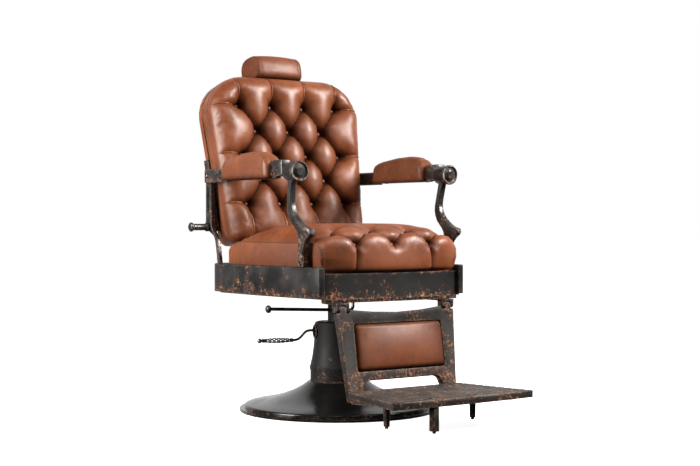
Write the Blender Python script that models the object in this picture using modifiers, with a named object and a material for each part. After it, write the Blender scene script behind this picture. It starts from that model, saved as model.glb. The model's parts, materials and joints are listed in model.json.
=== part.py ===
# Antique hydraulic barber chair: cast-iron base and seat frame, buttoned leather upholstery.
# Metres, +Z up. The sitter faces -Y, the floor is z = 0 and the swivel axis is the Z axis.
# "right" and "left" are the sitter's: right is -X, left is +X.
import math

import bmesh
import bpy
from mathutils import Matrix, Vector

# Clearances between pieces
SEAT_GAP = 0.0003
RUN_GAP = 0.0004

# Sides of the smaller turned pieces
ROUND = 20

# Base casting and pump column
BASE_R = 0.305
RIM_H = 0.008
RIM_W = 0.012
BEAD_R = 0.0068
NECK_R = 0.0935
NECK_H = 0.088
BASE_WALL = 0.009
SLEEVE_FOOT_R = 0.0868
SLEEVE_BAND_R = 0.0888
SLEEVE_BAND_H = 0.040
SLEEVE_TOP_R = 0.0732
SLEEVE_TOP = 0.271
SLEEVE_WALL = 0.007
SLEEVE_CAP = 0.025
CYL_BORE_R = 0.0366
CYL_WALL = 0.0094
FOOT_R = 0.070
FOOT_H = 0.012
RAM_R = 0.0325
RAM_TOP = 0.362
SPIGOT_R = 0.020
SPIGOT_H = 0.033
PISTON_H = 0.022
WASHER_H = 0.004

# Pump handle
PUMP_Z = 0.2447
PUMP_PIVOT_X = -0.0585
PUMP_ROD_R = 0.004
PUMP_PIN_R = 0.003
PUMP_EYE_R = 0.0065
PUMP_TURN = math.radians(360 / ROUND)
PUMP_REACH = 0.1024
PUMP_DROP = 0.0285
PUMP_DROP_RUN = 0.0256
GRIP_START = 0.1450
GRIP_LENGTH = 0.0972
GRIP_R = 0.0088
GRIP_WIRE_R = 0.0021
GRIP_WIRES = 4
GRIP_TURNS = 1.6
GRIP_COLLAR_R = 0.0058
GRIP_COLLAR_L = 0.009
BALL_R = 0.0075
EYELET_R = 0.0150
EYELET_WALL = 0.0042
EYELET_LIP = 0.0026
EYELET_DROP = 0.0035
CLEVIS_CHEEK = 0.005

# Seat frame
RING_HALF_FRONT = 0.264
RING_HALF_SIDE = 0.290
RING_FRONT_Y = -0.285
RING_SWELL_Y = 0.100
RING_REAR_Y = 0.303
RING_CORNER_R = 0.060
RING_WALL = 0.020
RING_Z0 = 0.357
RING_Z1 = 0.4486
RING_LIP_H = 0.010
RING_LIP_OUT = 0.003
APRON_END_Y = -0.2734
APRON_BOW = 0.0165
APRON_T = 0.012
APRON_TOP = 0.430
HUB_R = 0.050
HUB_FOOT_Z = 0.3405
SPIDER_Z1 = 0.3975
SPIDER_T = 0.018
SPIDER_BAR_W = 0.034
SPIDER_BEAM_Y = 0.150
SPIDER_BEAM_W = 0.022
BOARD_T = 0.012

# Seat cushion
SEAT_EDGE_Z = 0.517
SEAT_CROWN_Z = 0.566
SEAT_REAR_Y = 0.219
SEAT_TUFT = 0.0665
SEAT_SIDE_GAP = 0.0035
SEAT_CORNER_SWELL = 0.009
SEAT_PUFF = 0.020

# Arms
ARM_X = 0.278
ARM_BAR_X = 0.288
HUB_Z = 0.7226
BARREL_R = 0.0275
BARREL_Y0 = -0.197
BARREL_Y1 = -0.150
CAP_R = 0.0305
CAP_T = 0.012
SUPPORT_T = 0.020
SUPPORT_LEAN = 0.016
ARM_BAR_T = 0.016
ARM_BAR_Z0 = 0.706
ARM_BAR_Z1 = 0.736
NECK_T = 0.032
NECK_Z0 = 0.710
NECK_Z1 = 0.757
PAD_Y0 = -0.086
PAD_Y1 = 0.176
PAD_Z0 = 0.7037
PAD_Z1 = 0.787
PAD_HALF = 0.031
PLATE_X0 = 0.2898
PLATE_T = 0.008
PLATE_Z0 = 0.700
PLATE_Z1 = 0.742
PLATE_Y1 = 0.309
SCREW_Y = 0.296
SCREW_R = 0.0045
SCREW_HEAD_R = 0.0078
SCREW_HEAD_T = 0.0028
TOE_BOLT_R = 0.004
TOE_BOLT_HEAD_R = 0.0072
TOE_BOLT_HEAD_T = 0.0045
TOE_BOLT_LENGTH = 0.016
TOE_Z = 0.548
TOE_Y = -0.257

# Rear posts and recline pivot
POST_X0 = 0.2755
POST_T = 0.014
POST_TOP = 0.7385
POST_MID_Y = 0.299
POST_GROOVE_W = 0.010
POST_GROOVE_D = 0.005
POST_GROOVE_Z0 = 0.600
POST_GROOVE_Z1 = 0.688
PIVOT_Y = 0.297
PIVOT_Z = 0.5615
PIVOT_PIN_R = 0.007
PIVOT_BOSS_R = 0.016
PIVOT_HEAD_R = 0.012
PIVOT_HEAD_T = 0.006
HANDLE_R = 0.0105
HANDLE_LENGTH = 0.067
HANDLE_KNOB_R = 0.0145
HANDLE_KNOB_L = 0.011

# Back, in its own raked frame: v runs up the back from the pivot, n runs towards the rear
RAKE = math.radians(11.13)
BACK_V0 = -0.0615
BACK_V1 = 0.477
BACK_HALF_0 = 0.250
BACK_HALF_1 = 0.281
BACK_TAPER_V = 0.360
BACK_TOP_R = 0.130
BACK_FOOT_R = 0.030
BACK_REAR_N = 0.0083
BACK_BOARD_T = 0.018
BACK_SEAM_N = -0.0466
BACK_FACE_N = -0.112
BACK_TUFT_X = 0.0615
BACK_TUFT_V0 = 0.0605
BACK_TUFT_DV = 0.0793
BACK_TUFT_ROWS = 5
BACK_TUFT_DEPTH = 0.028
BACK_CREASE = 0.014
IRON_T = 0.006
IRON_W = 0.024
IRON_V1 = 0.215
IRON_STRAIGHT = 0.020

# Headrest, in the back's frame
POST_BAR_W = 0.030
POST_BAR_T = 0.008
POST_BAR_LENGTH = 0.270
GUIDE_V = 0.350
GUIDE_L = 0.090
GUIDE_W = 0.056
GUIDE_FLOOR = 0.004
GUIDE_COVER = 0.008
PILLOW_HALF = 0.083
PILLOW_N0 = -0.065
PILLOW_N1 = 0.045
PILLOW_V0 = 0.4845
PILLOW_V1 = 0.556
PAN_T = 0.004
PAN_HALF = 0.055
PAN_N0 = -0.045
THUMB_R = 0.003
THUMB_KNOB_R = 0.013
THUMB_KNOB_L = 0.010
THUMB_NECK_L = 0.006

# Swivel lever
LEVER_Y = -0.078
LEVER_Z = 0.3095
LEVER_RISE = 0.0135
LEVER_LENGTH = 0.295
LEVER_R = 0.005
LEVER_KNOB_R = 0.0118
LEVER_KNOB_FLAT = 0.72
LEVER_SOCKET_R = 0.013
LEVER_SOCKET_Z0 = 0.346
LEVER_BEND_R = 0.012

# Footrest, in its own frame: origin on the hinge axis, hanging forward by FOOT_LEAN
HINGE_Y = -0.2865
HINGE_Z = 0.331
FOOT_LEAN = math.radians(9.0)
FRAME_T = 0.020
FRAME_TOP_HALF = 0.2135
FRAME_FOOT_HALF = 0.194
FRAME_TOP = -0.0145
FRAME_FOOT = -0.2665
FRAME_BAR_TOP = -0.0165
WINDOW_HALF = 0.160
WINDOW_TOP = -0.0455
WINDOW_FOOT = -0.1835
NOTCH_HALF = 0.138
NOTCH_TOP = -0.2095
NOTCH_R = 0.018
KNUCKLE_R = 0.0105
KNUCKLE_X0 = 0.182
KNUCKLE_X1 = 0.202
HINGE_PIN_R = 0.005
CHEEK_T = 0.0115
BRACKET_REACH = 0.062
BACKING_T = 0.008
BACKING_LAP = 0.010
CALF_GAP = 0.0025
CALF_PROUD = 0.012
PLATE_TOP = 0.100
PLATE_H = 0.020
PLATE_HALF_REAR = 0.200
PLATE_HALF_FRONT = 0.2505
PLATE_FRONT_Y = -0.606
PLATE_BOW = 0.010
PLATE_RIBS = 11
PLATE_RIB_H = 0.0022
PLATE_SLOT_L = 0.034
PLATE_SLOT_W = 0.011
ARM_FOOT_T = 0.016
ARM_FOOT_X = 0.178
ARM_FOOT_DROP = 0.014
ARM_FOOT_Y = -0.590
PEG_X = 0.1616
PEG_Y = -0.4538
PEG_FOOT_Z = 0.007
PEG_R = 0.0095
PEG_FLARE_R = 0.017
PEG_TIP_R = 0.005
PEG_TIP_L = 0.006
FRONT_PEG_X = -0.105
FRONT_PEG_W = 0.021

SIDES = {"right": -1.0, "left": 1.0}

MATERIALS = {
    "black_iron": ((0.030, 0.029, 0.029), 0.42, 0.85),
    "worn_iron": ((0.055, 0.052, 0.050), 0.55, 0.80),
    "worn_steel": ((0.33, 0.31, 0.29), 0.35, 1.00),
    "bronze": ((0.45, 0.30, 0.13), 0.35, 1.00),
    "seal": ((0.025, 0.022, 0.020), 0.80, 0.00),
    "plywood": ((0.36, 0.23, 0.12), 0.70, 0.00),
    "cognac_leather": ((0.27, 0.085, 0.030), 0.42, 0.00),
}

for stale in list(bpy.data.objects):
    bpy.data.objects.remove(stale, do_unlink=True)

PARTS = bpy.data.collections.new("barber_chair")
CUTTERS = bpy.data.collections.new("cutters")
bpy.context.scene.collection.children.link(PARTS)
bpy.context.scene.collection.children.link(CUTTERS)


def finish(name):
    """The named Principled material, made on first use."""
    material = bpy.data.materials.get(name)
    if material is None:
        colour, roughness, metallic = MATERIALS[name]
        material = bpy.data.materials.new(name)
        material.use_nodes = True
        shader = material.node_tree.nodes["Principled BSDF"]
        shader.inputs["Base Color"].default_value = (*colour, 1.0)
        shader.inputs["Roughness"].default_value = roughness
        shader.inputs["Metallic"].default_value = metallic
    return material


def pivot(name, location, tilt=0.0):
    """An empty on a joint's axis, tilted about X."""
    empty = bpy.data.objects.new(name, None)
    empty.location = location
    empty.rotation_euler = (tilt, 0.0, 0.0)
    PARTS.objects.link(empty)
    return empty


def piece(obj, material, parent=None):
    """Make an object a part of the chair, in its finish and on its axis."""
    for owner in list(obj.users_collection):
        owner.objects.unlink(obj)
    PARTS.objects.link(obj)
    obj.data.materials.clear()
    obj.data.materials.append(finish(material))
    obj.data.shade_smooth()
    obj.data.set_sharp_from_angle(angle=math.radians(38))
    obj.parent = parent
    return obj


def helper(obj):
    """Make an object a cutter or a piece of a union: not a part by itself."""
    for owner in list(obj.users_collection):
        owner.objects.unlink(obj)
    CUTTERS.objects.link(obj)
    obj.hide_render = True
    obj.display_type = "WIRE"
    return obj


def from_bmesh(name, bm):
    mesh = bpy.data.meshes.new(name)
    bmesh.ops.recalc_face_normals(bm, faces=bm.faces)
    bm.to_mesh(mesh)
    bm.free()
    obj = bpy.data.objects.new(name, mesh)
    bpy.context.scene.collection.objects.link(obj)
    return obj


def boolean(obj, other, operation):
    helper(other)
    other.parent = obj.parent
    step = obj.modifiers.new(operation.lower(), "BOOLEAN")
    step.operation = operation
    step.object = other
    return obj


def bevel(obj, width, segments=2, angle=40):
    step = obj.modifiers.new("soft_edges", "BEVEL")
    step.width = width
    step.segments = segments
    step.limit_method = "ANGLE"
    step.angle_limit = math.radians(angle)
    return obj


def box(name, low, high):
    bm = bmesh.new()
    bmesh.ops.create_cube(bm, size=1.0)
    size = Vector(high) - Vector(low)
    bmesh.ops.scale(bm, vec=size, verts=bm.verts)
    bmesh.ops.translate(bm, vec=(Vector(low) + Vector(high)) / 2, verts=bm.verts)
    return from_bmesh(name, bm)


TURN_TO = {
    "X": Matrix.Rotation(math.pi / 2, 4, "Y"),
    "Y": Matrix.Rotation(-math.pi / 2, 4, "X"),
    "Z": Matrix.Identity(4),
}


def cylinder(name, radius, start, length, axis, sides=ROUND):
    """A cylinder from a start point along an axis."""
    bm = bmesh.new()
    bmesh.ops.create_cone(bm, cap_ends=True, segments=sides, radius1=radius, radius2=radius, depth=length)
    bmesh.ops.translate(bm, vec=(0, 0, length / 2), verts=bm.verts)
    bmesh.ops.transform(bm, matrix=Matrix.Translation(start) @ TURN_TO[axis], verts=bm.verts)
    return from_bmesh(name, bm)


def turned(name, profile, steps, closed=False, matrix=None):
    """A turned piece: (radius, height) points from the top down the outside, round local Z."""
    mesh = bpy.data.meshes.new(name)
    edges = [(i, i + 1) for i in range(len(profile) - 1)]
    if closed:
        edges.append((len(profile) - 1, 0))
    mesh.from_pydata([(r, 0.0, z) for r, z in profile], edges, [])
    obj = bpy.data.objects.new(name, mesh)
    bpy.context.scene.collection.objects.link(obj)
    lathe = obj.modifiers.new("lathe", "SCREW")
    lathe.steps = steps
    lathe.render_steps = steps
    lathe.use_merge_vertices = True
    lathe.merge_threshold = 0.00001
    if matrix is not None:
        obj.matrix_world = matrix
    return as_mesh(obj)


def as_mesh(obj):
    """Replace an object by its evaluated mesh, welded and in place."""
    bpy.context.view_layer.update()
    graph = bpy.context.evaluated_depsgraph_get()
    mesh = bpy.data.meshes.new_from_object(obj.evaluated_get(graph))
    bm = bmesh.new()
    bm.from_mesh(mesh)
    bmesh.ops.remove_doubles(bm, verts=bm.verts, dist=0.000005)
    bmesh.ops.transform(bm, matrix=obj.matrix_world, verts=bm.verts)
    name = obj.name
    bpy.data.objects.remove(obj, do_unlink=True)
    return from_bmesh(name, bm)


PLANES = {
    "XY": Matrix(((1, 0, 0, 0), (0, 1, 0, 0), (0, 0, 1, 0), (0, 0, 0, 1))),
    "XZ": Matrix(((1, 0, 0, 0), (0, 0, -1, 0), (0, 1, 0, 0), (0, 0, 0, 1))),
    "YZ": Matrix(((0, 0, 1, 0), (1, 0, 0, 0), (0, 1, 0, 0), (0, 0, 0, 1))),
}


def prism(name, outline, low, high, plane):
    """A flat outline in a plane, given thickness from low to high along the plane's normal axis."""
    curve = bpy.data.curves.new(name, "CURVE")
    curve.dimensions = "2D"
    curve.fill_mode = "BOTH"
    curve.extrude = (high - low) / 2
    spline = curve.splines.new("POLY")
    spline.points.add(len(outline) - 1)
    for point, (a, b) in zip(spline.points, outline):
        point.co = (a, b, 0.0, 1.0)
    spline.use_cyclic_u = True
    obj = bpy.data.objects.new(name, curve)
    bpy.context.scene.collection.objects.link(obj)
    middle = (low + high) / 2
    shift = {"XY": (0, 0, middle), "XZ": (0, middle, 0), "YZ": (middle, 0, 0)}[plane]
    obj.matrix_world = Matrix.Translation(shift) @ PLANES[plane]
    return as_mesh(obj)


def tube(name, points, radius, resolution=2):
    """A round bar along a list of points."""
    curve = bpy.data.curves.new(name, "CURVE")
    curve.dimensions = "3D"
    curve.bevel_depth = radius
    curve.bevel_resolution = resolution
    curve.use_fill_caps = True
    spline = curve.splines.new("POLY")
    spline.points.add(len(points) - 1)
    for point, place in zip(spline.points, points):
        point.co = (*place, 1.0)
    obj = bpy.data.objects.new(name, curve)
    bpy.context.scene.collection.objects.link(obj)
    return as_mesh(obj)


def bezier(points, count):
    """Points along a cubic Bezier, ends included."""
    a, b, c, d = (Vector(p) for p in points)
    out = []
    for i in range(count + 1):
        t = i / count
        s = 1 - t
        out.append(tuple(a * s ** 3 + b * 3 * s * s * t + c * 3 * s * t * t + d * t ** 3))
    return out


def smooth_run(points, count):
    """Points along a Catmull-Rom curve through the given ones."""
    ends = [points[0]] + list(points) + [points[-1]]
    out = []
    for i in range(1, len(ends) - 2):
        p0, p1, p2, p3 = (Vector(p) for p in ends[i - 1:i + 3])
        for k in range(count):
            t = k / count
            out.append(tuple(0.5 * ((2 * p1) + (p2 - p0) * t + (2 * p0 - 5 * p1 + 4 * p2 - p3) * t * t
                                    + (3 * p1 - p0 - 3 * p2 + p3) * t ** 3)))
    out.append(tuple(points[-1]))
    return out


def arc(centre, radius, start, end, count):
    """Points on an arc, angles in degrees."""
    out = []
    for i in range(count + 1):
        angle = math.radians(start + (end - start) * i / count)
        out.append((centre[0] + radius * math.cos(angle), centre[1] + radius * math.sin(angle)))
    return out


def rounded(points, radius, count=4):
    """A closed outline with every corner rounded."""
    out = []
    total = len(points)
    for i in range(total):
        before, here, after = (Vector(points[(i + k) % total]) for k in (-1, 0, 1))
        start = here + (before - here).normalized() * radius
        end = here + (after - here).normalized() * radius
        for k in range(count + 1):
            t = k / count
            out.append(tuple(start * (1 - t) ** 2 + here * 2 * t * (1 - t) + end * t * t))
    return out


def segment_distance(x, y, a, b):
    """Distance from a point to a segment in a plane."""
    dx = b[0] - a[0]
    dy = b[1] - a[1]
    t = ((x - a[0]) * dx + (y - a[1]) * dy) / (dx * dx + dy * dy)
    t = min(1.0, max(0.0, t))
    return math.hypot(x - a[0] - dx * t, y - a[1] - dy * t)


def quarter_round(distance, width):
    """Height of a rounded edge: 0 at the edge, 1 from width inwards."""
    t = min(1.0, max(0.0, distance / width))
    return math.sqrt(1.0 - (1.0 - t) ** 2)


def fold_depth(x, y, buttons, folds, button_depth, fold_size, reach):
    """How far the leather is drawn in at a point by buttons and the folds between them."""
    depth = 0.0
    for bx, by in buttons:
        d = math.hypot(x - bx, y - by)
        depth = max(depth, button_depth * math.exp(-(d / reach) ** 2))
    for a, b in folds:
        d = segment_distance(x, y, a, b)
        depth = max(depth, fold_size * math.exp(-(d / (0.55 * reach)) ** 2))
    return depth


# Base, column and pump

def base_casting():
    bead = BASE_R - RIM_W - 1.5 * BEAD_R
    bead_z = RIM_H + 0.8 * BEAD_R
    flare = ((NECK_R, NECK_H), (NECK_R + 0.0315, 0.68 * NECK_H), (0.66 * bead, 0.41 * NECK_H),
             (bead, bead_z + BEAD_R))
    outside = bezier(flare, 7)
    rim = arc((bead, bead_z), BEAD_R, 60, -35, 3)
    rim += [(BASE_R - RIM_W, RIM_H), (BASE_R - 0.002, RIM_H), (BASE_R, RIM_H - 0.002), (BASE_R, 0.0)]
    bore = CYL_BORE_R + CYL_WALL + 2 * SEAT_GAP
    hollow = [(r - BASE_WALL / 2, max(BASE_WALL / 2, z - BASE_WALL)) for r,
              z in reversed(bezier(flare, 3))]
    hollow[-1] = (NECK_R - BASE_WALL, NECK_H - 2 * BASE_WALL)
    inside = [(BASE_R - 2 * RIM_W, 0.0)] + hollow
    inside += [(bore, NECK_H - 2 * BASE_WALL), (bore, NECK_H)]
    piece(turned("base_casting", outside + rim + inside, 40, closed=True), "black_iron")


def pump_side():
    """Turn about the column that sets the pump handle a little behind the chair's right side."""
    return Matrix.Rotation(-PUMP_TURN, 4, "Z")


def pump_sleeve():
    foot = NECK_H + SEAT_GAP
    band = foot + SLEEVE_BAND_H
    bore = CYL_BORE_R + CYL_WALL
    shoulder = arc((SLEEVE_TOP_R - 0.008, SLEEVE_TOP - 0.008), 0.008, 90, 0, 2)
    waist = bezier(((SLEEVE_TOP_R, SLEEVE_TOP - 0.009), (SLEEVE_TOP_R, SLEEVE_TOP - 0.060),
                    (SLEEVE_FOOT_R - 0.008, band + 0.036), (SLEEVE_FOOT_R, band + 0.008)), 4)
    outside = [(bore, SLEEVE_TOP)] + shoulder + waist
    outside += [(SLEEVE_BAND_R, band + 0.005), (SLEEVE_BAND_R, band - 0.003),
                (SLEEVE_FOOT_R, band - 0.006)]
    outside += [(SLEEVE_FOOT_R, foot)]
    inside = [(SLEEVE_FOOT_R - SLEEVE_WALL, foot), (SLEEVE_TOP_R - SLEEVE_WALL, SLEEVE_TOP - 0.060)]
    inside += [(SLEEVE_TOP_R - SLEEVE_WALL, SLEEVE_TOP - SLEEVE_CAP), (bore, SLEEVE_TOP - SLEEVE_CAP)]
    sleeve = turned("pump_sleeve", outside + inside, 28, closed=True)
    hole = cylinder("handle_hole", EYELET_R + EYELET_WALL + SEAT_GAP,
                    (-SLEEVE_TOP_R - 0.02, 0, PUMP_Z - EYELET_DROP), 0.05, "X", 20)
    hole.data.transform(pump_side())
    piece(boolean(sleeve, hole, "DIFFERENCE"), "worn_iron")


def handle_eyelet():
    outer = EYELET_R + EYELET_WALL
    wall = SLEEVE_TOP_R - SLEEVE_WALL + 0.002
    face = SLEEVE_TOP_R + 0.0014
    profile = [(EYELET_R + 0.0012, face + EYELET_LIP), (outer + 0.001, face + EYELET_LIP)]
    profile += [(outer + EYELET_LIP, face + 0.5 * EYELET_LIP), (outer + EYELET_LIP, face), (outer, face)]
    profile += [(outer, wall), (EYELET_R, wall)]
    outwards = Matrix.Translation((0, 0, PUMP_Z - EYELET_DROP)) @ Matrix.Rotation(-math.pi / 2, 4, "Y")
    outwards = pump_side() @ outwards
    piece(turned("handle_eyelet", profile, 16, closed=True, matrix=outwards), "black_iron")


def hydraulic_cylinder():
    top = SLEEVE_TOP - SLEEVE_CAP - SEAT_GAP
    low = FOOT_H + SEAT_GAP
    outer = CYL_BORE_R + CYL_WALL
    profile = [(CYL_BORE_R, top), (outer, top), (outer, low), (CYL_BORE_R, low)]
    piece(turned("hydraulic_cylinder", profile, ROUND, closed=True), "worn_steel")
    foot = [(0, FOOT_H), (FOOT_R - 0.003, FOOT_H), (FOOT_R, FOOT_H - 0.003), (FOOT_R, 0), (0, 0)]
    piece(turned("cylinder_foot", foot, ROUND), "black_iron")
    gland = [(RAM_R + RUN_GAP, SLEEVE_TOP + 0.0015), (outer - 0.003, SLEEVE_TOP + 0.0015)]
    gland += [(outer - SEAT_GAP, SLEEVE_TOP - 0.001), (outer - SEAT_GAP, top + SEAT_GAP)]
    gland += [(RAM_R + RUN_GAP, top + SEAT_GAP)]
    piece(turned("gland_ring", gland, ROUND, closed=True), "bronze")


def pump_clevis():
    """A two-cheek bracket on the cylinder, with the pin that the handle rocks on."""
    back = -(CYL_BORE_R + CYL_WALL + SEAT_GAP)
    inner = PUMP_EYE_R + RUN_GAP
    eye = 2 * PUMP_ROD_R + RUN_GAP
    half = eye / 2 + CLEVIS_CHEEK
    reach = PUMP_PIVOT_X - inner
    low = PUMP_Z - inner
    high = PUMP_Z + inner
    bracket = box("pump_clevis", (reach, -half, low), (back - 0.0006, half, high))
    slot = box("clevis_slot", (reach - 0.01, -eye / 2, low - 0.01),
               (PUMP_PIVOT_X + inner, eye / 2, high + 0.01))
    bore = cylinder("clevis_bore", PUMP_PIN_R + RUN_GAP, (PUMP_PIVOT_X, -0.03, PUMP_Z), 0.06, "Y", 16)
    pin = cylinder("pump_pin", PUMP_PIN_R, (PUMP_PIVOT_X, -half, PUMP_Z), 2 * half, "Y", 16)
    for obj in (bracket, slot, bore, pin):
        obj.data.transform(pump_side())
    boolean(bracket, slot, "DIFFERENCE")
    boolean(bracket, bore, "DIFFERENCE")
    piece(bracket, "worn_iron")
    piece(pin, "worn_steel")


def pump_handle():
    axis = pivot("pump_axis", pump_side() @ Vector((PUMP_PIVOT_X, 0, PUMP_Z)))
    axis.rotation_euler.z = -PUMP_TURN
    reach = PUMP_REACH + PUMP_PIVOT_X
    start = GRIP_START + PUMP_PIVOT_X
    knee = [(-reach, 0), (-reach - PUMP_DROP_RUN, -PUMP_DROP)]
    outline = [Vector((-0.65 * PUMP_EYE_R, 0)), Vector(knee[0]), Vector(knee[1]),
               Vector((-start + SEAT_GAP, -PUMP_DROP))]
    path = [outline[0]]
    for i in (1, 2):
        before = outline[i] + (outline[i - 1] - outline[i]).normalized() * 0.011
        after = outline[i] + (outline[i + 1] - outline[i]).normalized() * 0.011
        path += [before, (before + after + 2 * outline[i]) / 4, after]
    path.append(outline[3])
    rod = tube("pump_rod", [(p[0], 0.0, p[1]) for p in path], PUMP_ROD_R, 2)
    half = PUMP_ROD_R
    boolean(rod, cylinder("rod_eye", PUMP_EYE_R, (0, -half, 0), 2 * half, "Y", 20), "UNION")
    boolean(rod, cylinder("rod_bore", PUMP_PIN_R + RUN_GAP, (0, -0.02, 0), 0.04, "Y", 16), "DIFFERENCE")
    piece(rod, "worn_steel", axis)
    for cutter in rod.modifiers:
        cutter.object.parent = axis
    grip = cylinder("pump_grip", GRIP_COLLAR_R, (-start - GRIP_COLLAR_L, 0, -PUMP_DROP), GRIP_COLLAR_L,
                    "X", 12)
    end = -start - GRIP_LENGTH
    pieces = [cylinder("grip_end", GRIP_COLLAR_R, (end, 0, -PUMP_DROP), GRIP_COLLAR_L, "X", 12)]
    span = GRIP_LENGTH - GRIP_COLLAR_L
    for wire in range(GRIP_WIRES):
        points = []
        for k in range(13):
            t = k / 12
            angle = 2 * math.pi * (wire / GRIP_WIRES + GRIP_TURNS * t)
            swell = math.sin(math.pi * t) ** 0.6
            radius = 0.5 * GRIP_COLLAR_R + (GRIP_R - GRIP_WIRE_R - 0.5 * GRIP_COLLAR_R) * swell
            x = -start - GRIP_COLLAR_L / 2 - span * t
            points.append((x, radius * math.cos(angle), radius * math.sin(angle) - PUMP_DROP))
        pieces.append(tube("grip_wire", points, GRIP_WIRE_R, 1))
    for part in pieces:
        boolean(grip, part, "UNION")
    piece(grip, "worn_iron", axis)
    for cutter in grip.modifiers:
        cutter.object.parent = axis
    profile = arc((0, 0), BALL_R, 90, -90, 8)
    ball = turned("pump_ball", [(max(0.0, r), z) for r, z in profile], 12)
    ball.data.transform(Matrix.Translation((end - BALL_R - SEAT_GAP, 0, -PUMP_DROP)))
    piece(ball, "worn_steel", axis)


# Ram and swivel

def ram_and_bearing():
    foot = FOOT_H + 2 * SEAT_GAP + 0.001
    piston_top = foot + PISTON_H
    piston = [(0, piston_top), (CYL_BORE_R - RUN_GAP, piston_top), (CYL_BORE_R - RUN_GAP, foot),
              (0, foot)]
    piece(turned("piston_cup", piston, ROUND), "seal")
    low = piston_top + SEAT_GAP
    ram = [(0, RAM_TOP + SPIGOT_H), (SPIGOT_R - 0.002, RAM_TOP + SPIGOT_H),
           (SPIGOT_R, RAM_TOP + SPIGOT_H - 0.002)]
    ram += [(SPIGOT_R, RAM_TOP), (RAM_R, RAM_TOP), (RAM_R, low), (0, low)]
    piece(turned("ram", ram, ROUND), "worn_steel")
    z0 = RAM_TOP + SEAT_GAP
    washer = [(SPIGOT_R + RUN_GAP, z0 + WASHER_H), (RAM_R - 0.0005, z0 + WASHER_H), (RAM_R - 0.0005, z0)]
    washer += [(SPIGOT_R + RUN_GAP, z0)]
    piece(turned("thrust_washer", washer, ROUND, closed=True), "bronze")


def ring_half(y, inset):
    """Half-width of the seat ring's side at y, inset from its outer face."""
    t = min(1.0, max(0.0, (y - RING_FRONT_Y) / (RING_SWELL_Y - RING_FRONT_Y)))
    return RING_HALF_FRONT + (RING_HALF_SIDE - RING_HALF_FRONT) * math.sin(math.pi / 2 * t) - inset


def ring_run(inset, ahead=0.0, steps=6):
    """The ring's left half in plan, from its front end round to the middle of the rear."""
    side = []
    for i in range(steps + 1):
        y = RING_FRONT_Y + (RING_SWELL_Y - RING_FRONT_Y) * i / steps
        side.append((ring_half(y, inset), y))
    side[0] = (side[0][0], RING_FRONT_Y - ahead)
    radius = RING_CORNER_R - inset
    corner = arc((RING_HALF_SIDE - RING_CORNER_R, RING_REAR_Y - RING_CORNER_R), radius, 0, 90, 5)
    return side + corner


def ring_outline(inset_out, inset_in, ahead=0.0):
    outer = ring_run(inset_out, ahead)
    inner = ring_run(inset_in, ahead)
    loop = outer + [(-x, y) for x, y in reversed(outer)]
    return loop + [(-x, y) for x, y in inner] + list(reversed(inner))


def seat_ring():
    ring = prism("seat_ring", ring_outline(0.0, RING_WALL), RING_Z0, RING_Z1, "XY")
    bevel(ring, 0.003, 1, 60)
    plan = ring_outline(-RING_LIP_OUT, RING_WALL - 0.0025, RING_LIP_OUT / 2)
    lip = prism("ring_lip", plan, RING_Z0 - RING_LIP_H, RING_Z0 + 0.0045, "XY")
    boolean(ring, lip, "UNION")
    piece(ring, "worn_iron")


def apron_line(x, offset):
    """The bowed front apron's face in plan, moved back by an offset."""
    half = RING_HALF_FRONT - RING_WALL - SEAT_GAP
    return APRON_END_Y - APRON_BOW * (1 - (x / half) ** 2) + offset


def apron_outline(proud):
    half = RING_HALF_FRONT - RING_WALL - SEAT_GAP - 0.0007
    xs = [half * (2 * i / 12 - 1) for i in range(13)]
    front = [(x, apron_line(x, -proud)) for x in xs]
    rear = [(x, apron_line(x, APRON_T)) for x in reversed(xs)]
    return front + rear


def front_apron():
    apron = prism("front_apron", apron_outline(0.0), RING_Z0, APRON_TOP, "XY")
    bevel(apron, 0.003, 1, 60)
    lip = prism("apron_lip", apron_outline(RING_LIP_OUT), RING_Z0 - RING_LIP_H, RING_Z0 + 0.001, "XY")
    bevel(lip, 0.003, 1, 60)
    piece(boolean(apron, lip, "UNION"), "worn_iron")


def seat_spider():
    bore = SPIGOT_R + RUN_GAP
    seat_z = RAM_TOP + WASHER_H + 2 * SEAT_GAP
    profile = [(bore, SPIDER_Z1), (HUB_R, SPIDER_Z1), (HUB_R, HUB_FOOT_Z + 0.004),
               (HUB_R - 0.004, HUB_FOOT_Z)]
    profile += [(RAM_R + RUN_GAP, HUB_FOOT_Z), (RAM_R + RUN_GAP, seat_z), (bore, seat_z)]
    hub = turned("seat_spider", profile, 24, closed=True)
    z0 = SPIDER_Z1 - SPIDER_T
    top = SPIDER_Z1 - SEAT_GAP
    length = SPIDER_BEAM_Y + SPIDER_BEAM_W / 2
    for sign in (-1, 1):
        near = HUB_R - 0.012
        y0, y1 = sorted((sign * near, sign * length))
        boolean(hub, box("spider_bar", (-SPIDER_BAR_W / 2, y0, z0), (SPIDER_BAR_W / 2, y1, top)), "UNION")
        y = sign * SPIDER_BEAM_Y
        half = min(ring_half(y - SPIDER_BEAM_W / 2, RING_WALL),
                   ring_half(y + SPIDER_BEAM_W / 2, RING_WALL))
        half -= SEAT_GAP
        beam = box("spider_beam", (-half, y - SPIDER_BEAM_W / 2, z0 + 0.002),
                   (half, y + SPIDER_BEAM_W / 2, top - 0.001))
        boolean(hub, beam, "UNION")
    piece(hub, "worn_iron")


def seat_board():
    run = ring_run(RING_WALL + 0.001)
    front = [(x, y) for x, y in run if y > APRON_END_Y + APRON_T]
    edge_y = APRON_END_Y + APRON_T + SEAT_GAP
    front.insert(0, (ring_half(edge_y, RING_WALL + 0.001), edge_y))
    outline = front + [(-x, y) for x, y in reversed(front)]
    piece(prism("seat_board", outline, SPIDER_Z1 + SEAT_GAP, SPIDER_Z1 + SEAT_GAP + BOARD_T, "XY"),
          "plywood")


# Upholstery of the seat: a leather sheet that rises over the front edge and runs back to the rear

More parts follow.
